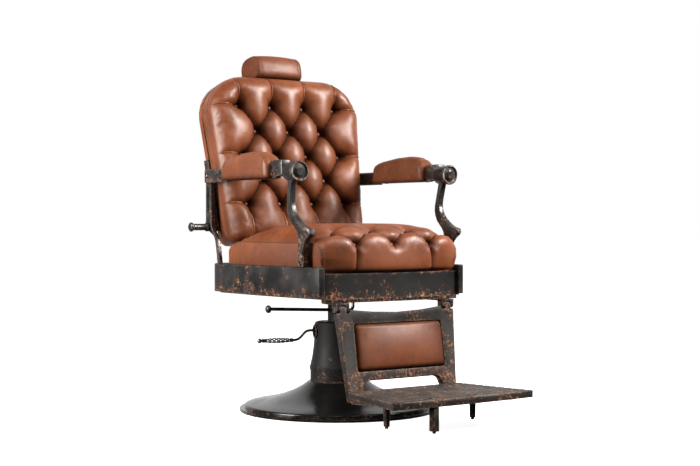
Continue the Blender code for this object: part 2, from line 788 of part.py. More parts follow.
def seat_paths():
    """Side profiles (y, z) of the cushion's top skin, in the middle and at the side."""
    start = APRON_TOP + 0.0035
    middle_front = apron_line(0.0, APRON_T)
    end_front = apron_line(RING_HALF_FRONT - RING_WALL - SEAT_GAP, APRON_T)
    crown = SEAT_CROWN_Z
    edge = SEAT_EDGE_Z
    middle = [(middle_front + 0.0025, start), (middle_front - 0.017, start + 0.014),
              (middle_front - 0.024, start + 0.050),
              (middle_front - 0.019, crown - 0.046), (middle_front + 0.006, crown - 0.019),
              (middle_front + 0.060, crown - 0.008), (middle_front + 0.170, crown), (0.030,
                                                                                     crown - 0.004),
              (SEAT_REAR_Y - 0.090, crown - 0.030), (SEAT_REAR_Y - 0.024, edge - 0.010), (SEAT_REAR_Y,
                                                                                          edge - 0.024)]
    side = [(end_front + 0.0025, start), (end_front - 0.004, start + 0.014),
            (end_front - 0.006, start + 0.045),
            (end_front + 0.002, edge - 0.016), (end_front + 0.020, edge - 0.003), (end_front + 0.060,
                                                                                   edge),
            (-0.100, edge), (0.030, edge), (SEAT_REAR_Y - 0.080, edge), (SEAT_REAR_Y - 0.026,
                                                                         edge - 0.011),
            (SEAT_REAR_Y - 0.006, edge - 0.028)]
    return smooth_run(middle, 3), smooth_run(side, 3)


def corner_swell(y, z):
    """How far the front corners swell out over the ring's ends, above them only."""
    ahead = min(1.0, max(0.0, (-0.222 - y) / 0.025))
    above = min(1.0, max(0.0, (z - RING_Z1 - 0.004) / 0.020))
    return SEAT_CORNER_SWELL * ahead * above


def seat_cushion():
    middle, side = seat_paths()
    lengths = [0.0]
    for a, b in zip(middle, middle[1:]):
        lengths.append(lengths[-1] + math.hypot(b[0] - a[0], b[1] - a[1]))
    columns = 24
    rows = len(middle)
    front_row = next(s for s, p in zip(lengths, middle) if p[1] > SEAT_EDGE_Z - 0.002)
    row_gap = 0.066
    buttons = [(k * 2 * SEAT_TUFT, front_row) for k in (-1, 0, 1)]
    buttons += [((k + 0.5) * 2 * SEAT_TUFT, front_row + row_gap) for k in (-2, -1, 0, 1)]
    buttons += [(k * 2 * SEAT_TUFT, front_row + 2 * row_gap) for k in (-1, 0, 1)]
    folds = []
    for i, a in enumerate(buttons):
        for b in buttons[i + 1:]:
            if abs(b[1] - a[1] - row_gap) < 0.001 and abs(abs(b[0] - a[0]) - SEAT_TUFT) < 0.001:
                folds.append((a, b))
    for k in (-1, 1):
        folds.append(((k * 2 * SEAT_TUFT, front_row), (k * 2 * SEAT_TUFT * 1.03, 0.01)))
    bm = bmesh.new()
    bmesh.ops.create_grid(bm, x_segments=columns, y_segments=rows - 1, size=1.0)
    bm.verts.ensure_lookup_table()
    for vert in bm.verts:
        across = vert.co.x
        index = round((vert.co.y + 1) / 2 * (rows - 1))
        rise = min(1.0, max(0.0, (middle[index][1] - middle[0][1]) / 0.08))
        keep = (1 - across ** 2) * (1 - rise) + (1 - across ** 6) * rise
        py = side[index][0] + (middle[index][0] - side[index][0]) * keep
        pz = side[index][1] + (middle[index][1] - side[index][1]) * keep
        half = ring_half(max(py, RING_FRONT_Y), RING_WALL + SEAT_SIDE_GAP) + corner_swell(py, pz)
        after = middle[min(rows - 1, index + 1)]
        before = middle[max(0, index - 1)]
        normal = Vector((0, -(after[1] - before[1]), after[0] - before[0])).normalized()
        inside = quarter_round(min(index, rows - 1 - index), 3) * quarter_round((1 - abs(across)) * half,
                                                                                0.03)
        depth = fold_depth(across * half, lengths[index], buttons, folds, SEAT_PUFF, 0.45 * SEAT_PUFF,
                           0.022)
        vert.co = Vector((across * half, py, pz)) - normal * depth * inside
    border = [edge for edge in bm.edges if edge.is_boundary]
    grown = bmesh.ops.extrude_edge_only(bm, edges=border)["geom"]
    floor_z = SPIDER_Z1 + BOARD_T + 2 * SEAT_GAP
    for vert in (g for g in grown if isinstance(g, bmesh.types.BMVert)):
        half = ring_half(vert.co.y, RING_WALL + SEAT_SIDE_GAP + 0.006)
        vert.co.x = max(-half, min(half, vert.co.x))
        vert.co.y = max(vert.co.y + 0.006, apron_line(vert.co.x, APRON_T) + 0.004)
        vert.co.z = floor_z
    rim = [edge for edge in bm.edges if edge.is_boundary]
    bmesh.ops.edgeloop_fill(bm, edges=rim)
    bmesh.ops.triangulate(bm, faces=[f for f in bm.faces if len(f.verts) > 4])
    piece(from_bmesh("seat_cushion", bm), "cognac_leather")


# Arms

def lean(obj, side):
    """Lean a support outwards: its foot stands nearer the middle than the arm it carries."""
    slope = SUPPORT_LEAN / (HUB_Z - RING_Z1)
    for vert in obj.data.vertices:
        vert.co.x -= side * slope * max(0.0, HUB_Z - 0.03 - vert.co.z)


def arm_support(label, side):
    foot = RING_Z1 + SEAT_GAP
    rear = [(-0.160, HUB_Z - 0.015), (-0.147, 0.645), (-0.144, 0.612), (-0.157, 0.581), (-0.183, 0.557),
            (-0.194, 0.535), (-0.190, 0.500), (-0.1865, 0.472), (-0.1875, foot)]
    front_low = [(-0.2165, foot), (-0.2155, 0.472), (-0.2205, 0.503), (-0.237, 0.527),
                 (TOE_Y, TOE_Z - 0.008)]
    front_high = [(TOE_Y, TOE_Z + 0.009), (-0.230, 0.564), (-0.203, 0.579), (-0.178, 0.600),
                  (-0.166, 0.625),
                  (-0.167, 0.650), (-0.180, HUB_Z - 0.015)]
    outline = smooth_run(rear, 2) + smooth_run(front_low, 2) + smooth_run(front_high, 2)
    x = side * ARM_X
    support = prism(label + "_arm_support", outline, x - SUPPORT_T / 2, x + SUPPORT_T / 2, "YZ")
    lean(support, side)
    bevel(support, 0.003, 1, 50)
    barrel = cylinder("barrel", BARREL_R, (x, BARREL_Y0, HUB_Z), BARREL_Y1 - BARREL_Y0, "Y", 20)
    bevel(barrel, 0.003, 1, 50)
    boolean(support, barrel, "UNION")
    toe_x = side * (ARM_X - SUPPORT_LEAN * (HUB_Z - 0.03 - TOE_Z) / (HUB_Z - RING_Z1))
    hole = cylinder("toe_hole", TOE_BOLT_R + SEAT_GAP, (toe_x, TOE_Y - 0.01, TOE_Z),
                    0.01 + TOE_BOLT_LENGTH + 0.001,
                    "Y", 12)
    boolean(support, hole, "DIFFERENCE")
    piece(support, "worn_iron")
    face = TOE_Y - SEAT_GAP
    profile = [(0, TOE_BOLT_HEAD_T), (TOE_BOLT_HEAD_R * 0.75, TOE_BOLT_HEAD_T),
               (TOE_BOLT_HEAD_R, TOE_BOLT_HEAD_T * 0.5)]
    profile += [(TOE_BOLT_HEAD_R, 0), (TOE_BOLT_R, 0), (TOE_BOLT_R, -TOE_BOLT_LENGTH),
                (0, -TOE_BOLT_LENGTH)]
    forwards = Matrix.Translation((toe_x, face, TOE_Z)) @ Matrix.Rotation(math.pi / 2, 4, "X")
    piece(turned(label + "_toe_bolt", profile, 10, matrix=forwards), "worn_steel")


def hub_cap(label, side):
    groove = CAP_T - 0.0065
    rim = CAP_T - 0.0035
    profile = [(0, CAP_T), (0.011, CAP_T), (0.0165, CAP_T - 0.003), (0.0195, groove), (0.0255, groove),
               (0.0275, rim),
               (CAP_R - 0.002, rim), (CAP_R, rim - 0.0025), (CAP_R, 0), (0, 0)]
    place = Matrix.Translation((side * ARM_X, BARREL_Y0 - SEAT_GAP, HUB_Z)) @ Matrix.Rotation(math.pi / 2,
                                                                                              4, "X")
    piece(turned(label + "_hub_cap", profile, 24, matrix=place), "worn_iron")


def arm_bar(label, side):
    x = side * ARM_BAR_X
    bar = box(label + "_arm_bar", (x - ARM_BAR_T / 2, PAD_Y0 - 0.02, ARM_BAR_Z0),
              (x + ARM_BAR_T / 2, PAD_Y1 + 0.006, ARM_BAR_Z1))
    neck = box("arm_neck", (x - NECK_T / 2, BARREL_Y1 + SEAT_GAP, NECK_Z0),
               (x + NECK_T / 2, PAD_Y0 - 0.0015, NECK_Z1))
    bevel(neck, 0.004, 2)
    boolean(bar, neck, "UNION")
    x0, x1 = sorted((side * PLATE_X0, side * (PLATE_X0 + PLATE_T)))
    plate = box("arm_plate", (x0, PAD_Y1 - 0.010, PLATE_Z0), (x1, PLATE_Y1, PLATE_Z1))
    bevel(plate, 0.002, 1)
    boolean(bar, plate, "UNION")
    mid_z = (PLATE_Z0 + PLATE_Z1) / 2
    bore = SCREW_R + SEAT_GAP
    boolean(bar, cylinder("arm_bore", bore, (x0 - 0.02, SCREW_Y, mid_z), 0.06, "X", 16), "DIFFERENCE")
    piece(bar, "worn_iron")
    shank = POST_T + PLATE_T + (PLATE_X0 - POST_X0 - POST_T)
    profile = [(0, SCREW_HEAD_T), (SCREW_HEAD_R * 0.7, SCREW_HEAD_T), (SCREW_HEAD_R, SCREW_HEAD_T * 0.4),
               (SCREW_HEAD_R, 0)]
    profile += [(SCREW_R, 0), (SCREW_R, -shank), (0, -shank)]
    out = Matrix.Translation((side * (PLATE_X0 + PLATE_T + SEAT_GAP), SCREW_Y, mid_z))
    screw = turned(label + "_arm_screw", profile, 12,
                   matrix=out @ Matrix.Rotation(side * math.pi / 2, 4, "Y"))
    piece(screw, "worn_steel")


def soft_block(name, low, high, cuts, levels, shape):
    """A cushion from a cage of cuts, moved by a shaping function and subdivided."""
    bm = bmesh.new()
    bmesh.ops.create_cube(bm, size=2.0)
    for axis, count in enumerate(cuts):
        edges = [e for e in bm.edges if abs((e.verts[0].co - e.verts[1].co).normalized()[axis]) > 0.9]
        if count:
            bmesh.ops.subdivide_edges(bm, edges=edges, cuts=count, use_grid_fill=True)
    centre = (Vector(low) + Vector(high)) / 2
    half = (Vector(high) - Vector(low)) / 2
    for vert in bm.verts:
        moved = shape(vert.co.copy())
        vert.co = Vector((centre[i] + moved[i] * half[i] for i in range(3)))
    obj = from_bmesh(name, bm)
    soft = obj.modifiers.new("stuffing", "SUBSURF")
    soft.levels = levels
    soft.render_levels = levels
    return as_mesh(obj)


def arm_pad(label, side):
    x = side * ARM_BAR_X

    def loaf(p):
        slope = 0.30 * max(0.0, -p.y - 0.45) if p.z > 0 else 0.0
        tuck = 0.10 if p.z < 0 else 0.0
        return Vector((p.x * (1.04 - tuck), p.y * (1.03 if p.z < 0 else 0.98), p.z * 1.04 - slope))

    pad = soft_block(label + "_arm_pad", (x - PAD_HALF, PAD_Y0, PAD_Z0), (x + PAD_HALF, PAD_Y1, PAD_Z1),
                     (1, 4, 1), 1, loaf)
    gap = 0.0006
    channel = box("pad_channel", (x - ARM_BAR_T / 2 - gap, PAD_Y0 - 0.05, PAD_Z0 - 0.03),
                  (x + ARM_BAR_T / 2 + gap, PAD_Y1 + 0.05, ARM_BAR_Z1 + gap))
    boolean(pad, channel, "DIFFERENCE")
    plate = box("pad_plate_notch", (x - 0.02, PAD_Y1 - 0.011, PLATE_Z0 - 0.01),
                (x + 0.02, PAD_Y1 + 0.05, PLATE_Z1 + gap))
    boolean(pad, plate, "DIFFERENCE")
    piece(pad, "cognac_leather")


# Rear posts and recline pivot

def rear_post(label, side):
    foot = RING_Z1 + SEAT_GAP
    rear = [(0.244, foot), (0.253, 0.500), (0.267, 0.535), (PIVOT_Y + 0.016, PIVOT_Z - 0.006),
            (PIVOT_Y + 0.018, 0.590),
            (POST_MID_Y + 0.016, 0.640), (POST_MID_Y + 0.016, POST_TOP)]
    front = [(POST_MID_Y - 0.016, POST_TOP), (POST_MID_Y - 0.0165, 0.640), (0.279, 0.590),
             (PIVOT_Y - 0.018, PIVOT_Z),
             (0.250, 0.530), (0.239, 0.500), (0.230, foot)]
    outline = smooth_run(rear, 2) + smooth_run(front, 2)
    x0, x1 = sorted((side * POST_X0, side * (POST_X0 + POST_T)))
    post = prism(label + "_rear_post", outline, x0, x1, "YZ")
    bevel(post, 0.002, 1, 55)
    outer = side * (POST_X0 + POST_T)
    inner = side * (POST_X0 + POST_T - POST_GROOVE_D)
    g0, g1 = sorted((inner, outer + side * 0.01))
    groove = box("post_groove", (g0, POST_MID_Y - POST_GROOVE_W / 2, POST_GROOVE_Z0),
                 (g1, POST_MID_Y + POST_GROOVE_W / 2, POST_GROOVE_Z1))
    boolean(post, groove, "DIFFERENCE")
    iron = iron_inner() + IRON_T
    b0, b1 = sorted((side * (iron + 2 * SEAT_GAP), side * (POST_X0 + 0.003)))
    boss = cylinder("pivot_boss", PIVOT_BOSS_R, (b0, PIVOT_Y, PIVOT_Z), b1 - b0, "X", 20)
    boolean(post, boss, "UNION")
    bore = cylinder("pivot_bore", PIVOT_PIN_R + RUN_GAP, (min(b0, outer) - 0.03, PIVOT_Y, PIVOT_Z), 0.10,
                    "X", 16)
    boolean(post, bore, "DIFFERENCE")
    hole = cylinder("arm_screw_hole", SCREW_R + SEAT_GAP, (x0 - 0.02, SCREW_Y, (PLATE_Z0 + PLATE_Z1) / 2),
                    0.06, "X", 16)
    boolean(post, hole, "DIFFERENCE")
    piece(post, "worn_iron")


def pivot_span():
    """Inner and outer ends of a recline pivot's pin, from the middle of the chair."""
    return iron_inner() + SEAT_GAP, POST_X0 + POST_T


def pivot_bolt():
    """The plain pivot bolt on the sitter's left."""
    inner, outer = pivot_span()
    head = outer + SEAT_GAP
    profile = [(0, PIVOT_HEAD_T), (PIVOT_HEAD_R * 0.7, PIVOT_HEAD_T), (PIVOT_HEAD_R, PIVOT_HEAD_T * 0.5),
               (PIVOT_HEAD_R, 0)]
    profile += [(PIVOT_PIN_R, 0), (PIVOT_PIN_R, inner - head), (0, inner - head)]
    place = Matrix.Translation((head, PIVOT_Y, PIVOT_Z)) @ Matrix.Rotation(math.pi / 2, 4, "Y")
    piece(turned("left_pivot_bolt", profile, 16, matrix=place), "worn_steel")


def recline_handle():
    """The clamp handle on the sitter's right: a long grip with a flanged end, on the pivot's axis."""
    inner, outer = pivot_span()
    axis = pivot("recline_lock_axis", (-outer, PIVOT_Y, PIVOT_Z))
    length = HANDLE_LENGTH
    profile = [(0, length), (HANDLE_KNOB_R * 0.7, length), (HANDLE_KNOB_R, length - 0.003)]
    profile += [(HANDLE_KNOB_R, length - HANDLE_KNOB_L + 0.003), (HANDLE_R, length - HANDLE_KNOB_L)]
    profile += [(HANDLE_R, 0.012), (HANDLE_KNOB_R * 0.95, 0.009), (HANDLE_KNOB_R * 0.95, SEAT_GAP)]
    profile += [(PIVOT_PIN_R, SEAT_GAP), (PIVOT_PIN_R, inner - outer), (0, inner - outer)]
    handle = turned("recline_handle", profile, 16)
    handle.data.transform(Matrix.Rotation(-math.pi / 2, 4, "Y"))
    piece(handle, "black_iron", axis)


# Back, built in its raked frame round the pivot: X across, Y towards the rear, Z up the back

def back_taper():
    return (BACK_HALF_1 - BACK_HALF_0) / (BACK_TAPER_V - BACK_V0)


def back_half(v):
    return BACK_HALF_0 + back_taper() * (min(v, BACK_TAPER_V) - BACK_V0)


def iron_inner():
    """Distance from the middle of the chair to a back iron's inner face at the pivot."""
    return back_half(IRON_STRAIGHT) + SEAT_GAP


def back_column(across):
    """Lowest and highest v of the back's outline at a share of its half-width."""
    far = abs(across)

    def drop(radius):
        inner = 1 - radius / BACK_HALF_1
        t = max(0.0, far - inner) / (1 - inner)
        return radius * (1 - math.sqrt(max(0.0, 1 - t * t)))

    return BACK_V0 + drop(BACK_FOOT_R), BACK_V1 - drop(BACK_TOP_R)


def back_buttons():
    buttons = []
    for row in range(BACK_TUFT_ROWS):
        v = BACK_TUFT_V0 + row * BACK_TUFT_DV
        count = 4 if row % 2 == 0 else 3
        buttons += [((2 * k - count + 1) * BACK_TUFT_X, v) for k in range(count)]
    return buttons


def back_folds(buttons):
    """Diagonals between neighbouring buttons, and pleats from the outer ones to the edges."""
    folds = []
    for i, a in enumerate(buttons):
        for b in buttons[i + 1:]:
            if abs(b[1] - a[1] - BACK_TUFT_DV) < 0.001 and abs(abs(b[0] - a[0]) - BACK_TUFT_X) < 0.001:
                folds.append((a, b))
    top = BACK_TUFT_V0 + (BACK_TUFT_ROWS - 1) * BACK_TUFT_DV
    for x, v in buttons:
        if abs(v - top) < 0.001:
            folds.append(((x, v), (x, BACK_V1)))
        if abs(v - BACK_TUFT_V0) < 0.001:
            folds.append(((x, v), (x, BACK_V0)))
        if abs(x) > 2.5 * BACK_TUFT_X:
            folds.append(((x, v), (math.copysign(BACK_HALF_1, x), v)))
    return folds


def back_cushion(axis):
    columns = 28
    rows = 30
    buttons = back_buttons()
    folds = back_folds(buttons)
    bm = bmesh.new()
    bmesh.ops.create_grid(bm, x_segments=columns, y_segments=rows, size=1.0)
    for vert in bm.verts:
        across = math.copysign(abs(vert.co.x) ** 0.92, vert.co.x)
        low, high = back_column(across)
        v = low + (high - low) * (vert.co.y + 1) / 2
        half = back_half(v)
        x = across * half
        crown = quarter_round(half - abs(x), 0.055) * quarter_round(v - low,
                                                                    0.045) * quarter_round(high - v,
                                                                                           0.060)
        depth = fold_depth(x, v, buttons, folds, BACK_TUFT_DEPTH, BACK_CREASE, 0.024)
        n = BACK_SEAM_N + (BACK_FACE_N - BACK_SEAM_N) * crown + depth * crown
        vert.co = (x, n, v)
    rim = [e for e in bm.edges if e.is_boundary]
    grown = bmesh.ops.extrude_edge_only(bm, edges=rim)["geom"]
    rear = BACK_REAR_N - BACK_BOARD_T - SEAT_GAP
    for vert in (g for g in grown if isinstance(g, bmesh.types.BMVert)):
        vert.co.y = rear
    loop = [e for e in bm.edges if e.is_boundary]
    bmesh.ops.edgeloop_fill(bm, edges=loop)
    bmesh.ops.triangulate(bm, faces=[f for f in bm.faces if len(f.verts) > 4])
    piece(from_bmesh("back_cushion", bm), "cognac_leather", axis)


def back_board(axis):
    steps = 24
    upper = []
    lower = []
    for i in range(steps + 1):
        across = math.sin(math.pi / 2 * (2 * i / steps - 1))
        low, high = back_column(across)
        upper.append((across * back_half(high), high))
        lower.append((across * back_half(low), low))
    outline = lower + list(reversed(upper))
    board = prism("back_board", outline, BACK_REAR_N - BACK_BOARD_T, BACK_REAR_N, "XZ")
    piece(board, "plywood", axis)


def back_iron(label, side, axis):
    """A flat strap on the board's edge that carries the back on its pivot."""
    n_mid = BACK_REAR_N - BACK_BOARD_T / 2
    half = IRON_W / 2
    x0 = iron_inner()
    low, high = sorted((side * x0, side * (x0 + IRON_T)))
    foot = arc((0.0, 0.0), half, 180, 360, 8)
    outline = foot + [(half + n_mid, IRON_STRAIGHT), (half + n_mid, IRON_V1), (n_mid - half, IRON_V1),
                      (n_mid - half, IRON_STRAIGHT)]
    iron = prism(label + "_back_iron", outline, low, high, "YZ")
    for vert in iron.data.vertices:
        vert.co.x += side * back_taper() * max(0.0, vert.co.z - IRON_STRAIGHT)
    boolean(iron, cylinder("iron_bore", PIVOT_PIN_R + RUN_GAP, (low - 0.02, 0, 0), 0.05, "X", 20),
            "DIFFERENCE")
    piece(iron, "worn_iron", axis)
    for cutter in iron.modifiers:
        cutter.object.parent = axis


# Headrest

def headrest(axis):
    bar_n0 = BACK_REAR_N + GUIDE_FLOOR + SEAT_GAP
    bar_n1 = bar_n0 + POST_BAR_T
    depth = GUIDE_FLOOR + POST_BAR_T + GUIDE_COVER
    guide_v0 = GUIDE_V - GUIDE_L / 2
    guide = box("headrest_guide", (-GUIDE_W / 2, BACK_REAR_N + SEAT_GAP, guide_v0),
                (GUIDE_W / 2, BACK_REAR_N + SEAT_GAP + depth, guide_v0 + GUIDE_L))
    bevel(guide, 0.004, 2)
    half = POST_BAR_W / 2 + RUN_GAP
    slot = box("guide_slot", (-half, bar_n0 - RUN_GAP, guide_v0 - 0.02),
               (half, bar_n1 + RUN_GAP, guide_v0 + GUIDE_L + 0.02))
    boolean(guide, slot, "DIFFERENCE")
    cover = BACK_REAR_N + SEAT_GAP + depth
    bore = cylinder("thumb_bore", THUMB_R + RUN_GAP, (0, bar_n1, GUIDE_V), GUIDE_COVER + 0.01, "Y", 16)
    boolean(guide, bore, "DIFFERENCE")
    piece(guide, "black_iron", axis)

    pan_v1 = PILLOW_V0 - SEAT_GAP
    pan_v0 = pan_v1 - PAN_T
    bar_top = pan_v0 + 0.001
    bar = box("headrest_bar", (-POST_BAR_W / 2, bar_n0, bar_top - POST_BAR_LENGTH),
              (POST_BAR_W / 2, bar_n1, bar_top))
    bevel(bar, 0.001, 1)
    pan = box("pan_plate", (-PAN_HALF, PAN_N0, pan_v0), (PAN_HALF, bar_n1, pan_v1))
    boolean(bar, pan, "UNION")
    piece(bar, "worn_steel", axis)

    def bolster(p):
        waist = 1.0 - 0.10 * abs(p.x) ** 6
        return Vector((p.x * 1.02, p.y * 1.16 * waist, p.z * 1.16 * waist))

    pillow = soft_block("headrest_pillow", (-PILLOW_HALF, PILLOW_N0, PILLOW_V0),
                        (PILLOW_HALF, PILLOW_N1, PILLOW_V1),
                        (4, 2, 2), 1, bolster)
    floor = box("pillow_floor", (-0.2, -0.2, PILLOW_V0 - 0.05), (0.2, 0.2, PILLOW_V0))
    piece(boolean(pillow, floor, "DIFFERENCE"), "cognac_leather", axis)
    floor.parent = axis

    start = bar_n1 + RUN_GAP
    shaft = cover - start + THUMB_NECK_L
    profile = [(0, shaft + THUMB_KNOB_L), (THUMB_KNOB_R * 0.75, shaft + THUMB_KNOB_L)]
    profile += [(THUMB_KNOB_R, shaft + THUMB_KNOB_L - 0.003), (THUMB_KNOB_R, shaft + 0.002),
                (THUMB_KNOB_R - 0.002, shaft)]
    profile += [(THUMB_R, shaft), (THUMB_R, SEAT_GAP), (0, SEAT_GAP)]
    screw = turned("headrest_thumbscrew", profile, 16)
    screw.data.transform(Matrix.Translation((0, start, GUIDE_V)) @ Matrix.Rotation(-math.pi / 2, 4, "X"))
    piece(screw, "worn_steel", axis)
    for host in (guide, bar):
        for step in host.modifiers:
            if step.type == "BOOLEAN":
                step.object.parent = axis


# Swivel lever under the seat

def swivel_lever():
    axis = pivot("lever_axis", (0, LEVER_Y, LEVER_Z))
    top = SPIDER_Z1 - SPIDER_T - SEAT_GAP
    socket = [(LEVER_R + RUN_GAP, top - LEVER_Z), (LEVER_SOCKET_R, top - LEVER_Z),
              (LEVER_SOCKET_R, LEVER_SOCKET_Z0 - LEVER_Z)]
    socket += [(LEVER_R + RUN_GAP, LEVER_SOCKET_Z0 - LEVER_Z)]
    place = Matrix.Translation((0, LEVER_Y, LEVER_Z))
    piece(turned("lever_socket", socket, 20, closed=True, matrix=place), "worn_iron")
    slope = LEVER_RISE / LEVER_LENGTH
    bend = [(LEVER_BEND_R * (math.cos(a) - 1), LEVER_BEND_R * (1 - math.sin(a)))
            for a in (math.radians(k * 18) for k in range(6))]
    points = [(0, 0, top - LEVER_Z - SEAT_GAP)] + [(x, 0, z) for x, z in bend]
    points += [(-0.5 * LEVER_LENGTH, 0, 0.5 * LEVER_RISE), (-LEVER_LENGTH, 0, LEVER_RISE)]
    points[6] = (-LEVER_BEND_R, 0, slope * LEVER_BEND_R)
    piece(tube("swivel_lever", points, LEVER_R, 2), "worn_steel", axis)
    profile = [(max(0.0, r), z) for r, z in arc((0, 0), LEVER_KNOB_R, 90, -90, 8)]
    knob = turned("lever_knob", profile, 16)
    knob.data.transform(Matrix.Diagonal((LEVER_KNOB_FLAT, 1.0, 1.0, 1.0)))
    knob.data.transform(Matrix.Translation((-LEVER_LENGTH - LEVER_KNOB_R * LEVER_KNOB_FLAT - SEAT_GAP, 0,
                                            LEVER_RISE)))
    piece(knob, "black_iron", axis)


# Footrest, built round its hinge axis: X across, Y towards the rear, Z up the frame

def frame_outline():
    """The frame's right-hand half edge to edge: foot, side, top bar and the notch over the footplate."""
    side = [(NOTCH_HALF + NOTCH_R, FRAME_FOOT), (FRAME_FOOT_HALF, FRAME_FOOT),
            (FRAME_TOP_HALF, FRAME_TOP)]
    bar = [(0.1690, FRAME_TOP), (0.1675, -0.004), (0.150, -0.0065), (0.090, FRAME_BAR_TOP + 0.004),
           (0.0, FRAME_BAR_TOP)]
    notch = arc((NOTCH_HALF - NOTCH_R, NOTCH_TOP - NOTCH_R), NOTCH_R, 90, 20, 4)
    half = side + bar
    mirrored = [(-x, z) for x, z in reversed(half[:-1])]
    inner = [(-x, z) for x, z in reversed(notch)] + notch
    return half + mirrored + inner


def footrest_frame(axis):
    half_t = FRAME_T / 2
    frame = prism("footrest_frame", frame_outline(), -half_t, half_t, "XZ")
    bevel(frame, 0.0025, 1, 50)
    window = rounded([(-WINDOW_HALF, WINDOW_FOOT), (WINDOW_HALF, WINDOW_FOOT), (WINDOW_HALF, WINDOW_TOP),
                      (-WINDOW_HALF, WINDOW_TOP)],
                     0.008)
    boolean(frame, prism("frame_window", window, -0.05, 0.05, "XZ"), "DIFFERENCE")
    for sign in SIDES.values():
        x0, x1 = sorted((sign * KNUCKLE_X0, sign * KNUCKLE_X1))
        knuckle = [(KNUCKLE_R, FRAME_TOP - 0.004)] + arc((0, 0), KNUCKLE_R, 0, 180,
                                                         10) + [(-KNUCKLE_R, FRAME_TOP - 0.004)]
        inset = half_t - KNUCKLE_R
        knuckle[0] = (KNUCKLE_R + min(0.0, inset), FRAME_TOP - 0.004)
        knuckle[-1] = (-KNUCKLE_R - min(0.0, inset), FRAME_TOP - 0.004)
        boolean(frame, prism("knuckle", knuckle, x0, x1, "YZ"), "UNION")
        boolean(frame, plate_arm(sign), "UNION")
        bore = cylinder("hinge_bore", HINGE_PIN_R + RUN_GAP, (x0 - 0.02, 0, 0), x1 - x0 + 0.04, "X", 16)
        boolean(frame, bore, "DIFFERENCE")
    piece(frame, "worn_iron", axis)
    for step in frame.modifiers:
        if step.type == "BOOLEAN":
            step.object.parent = axis


def to_footrest(y, z):
    """World (y, z) at rest to the footrest's own frame."""
    dy = y - HINGE_Y
    dz = z - HINGE_Z
    cos = math.cos(FOOT_LEAN)
    sin = math.sin(FOOT_LEAN)
    return dy * cos - dz * sin, dy * sin + dz * cos


def plate_arm(sign):
    """A tapered arm that reaches forward from the frame's foot under the footplate."""
    under = PLATE_TOP - PLATE_H - SEAT_GAP
    root = HINGE_Y + math.tan(FOOT_LEAN) * (under - HINGE_Z)
    world = [(root + 0.006, under), (root + 0.004, under - 0.004), (root - 0.016, under - ARM_FOOT_DROP),
             (root - 0.080, under - ARM_FOOT_DROP * 0.75), (ARM_FOOT_Y, under - 0.004), (ARM_FOOT_Y,
                                                                                         under)]
    x0, x1 = sorted((sign * ARM_FOOT_X, sign * (ARM_FOOT_X + ARM_FOOT_T)))
    outline = [to_footrest(y, z) for y, z in world]
    return prism("plate_arm", outline, x0, x1, "YZ")


def footrest_bracket(label, side):
    """Fixed hinge bracket: two cheeks beside the frame's knuckle, under a foot on the seat frame."""
    top = RING_Z0 - RING_LIP_H - SEAT_GAP
    gap = RUN_GAP
    cheek_r = KNUCKLE_R + 0.0005
    x_in = KNUCKLE_X0 - gap - CHEEK_T
    x_out = KNUCKLE_X1 + gap + CHEEK_T
    outline = [(HINGE_Y + cheek_r, HINGE_Z + 0.003), (HINGE_Y + cheek_r, top), (HINGE_Y - cheek_r, top)]
    outline += [(HINGE_Y - cheek_r, HINGE_Z)] + arc((HINGE_Y, HINGE_Z), cheek_r, 180, 360, 10)[1:]
    x0, x1 = sorted((side * x_in, side * x_out))
    bracket = prism(label + "_footrest_bracket", outline, x0, x1, "YZ")
    k0, k1 = sorted((side * (KNUCKLE_X0 - gap), side * (KNUCKLE_X1 + gap)))
    room = KNUCKLE_R + gap
    ceiling = HINGE_Z + room
    slot = box("bracket_slot", (k0, HINGE_Y - 0.03, HINGE_Z - 0.03), (k1, HINGE_Y + 0.03, ceiling))
    boolean(bracket, slot, "DIFFERENCE")
    foot = box("bracket_foot", (x0, HINGE_Y + cheek_r - 0.004, ceiling + 0.0002),
               (x1, HINGE_Y + BRACKET_REACH, top))
    boolean(bracket, foot, "UNION")
    bore = cylinder("bracket_bore", HINGE_PIN_R + RUN_GAP, (x0 - 0.02, HINGE_Y, HINGE_Z), x1 - x0 + 0.04,
                    "X", 16)
    boolean(bracket, bore, "DIFFERENCE")
    piece(bracket, "worn_iron")
    piece(cylinder(label + "_footrest_pin", HINGE_PIN_R, (x0, HINGE_Y, HINGE_Z), x1 - x0, "X", 16),
          "worn_steel")


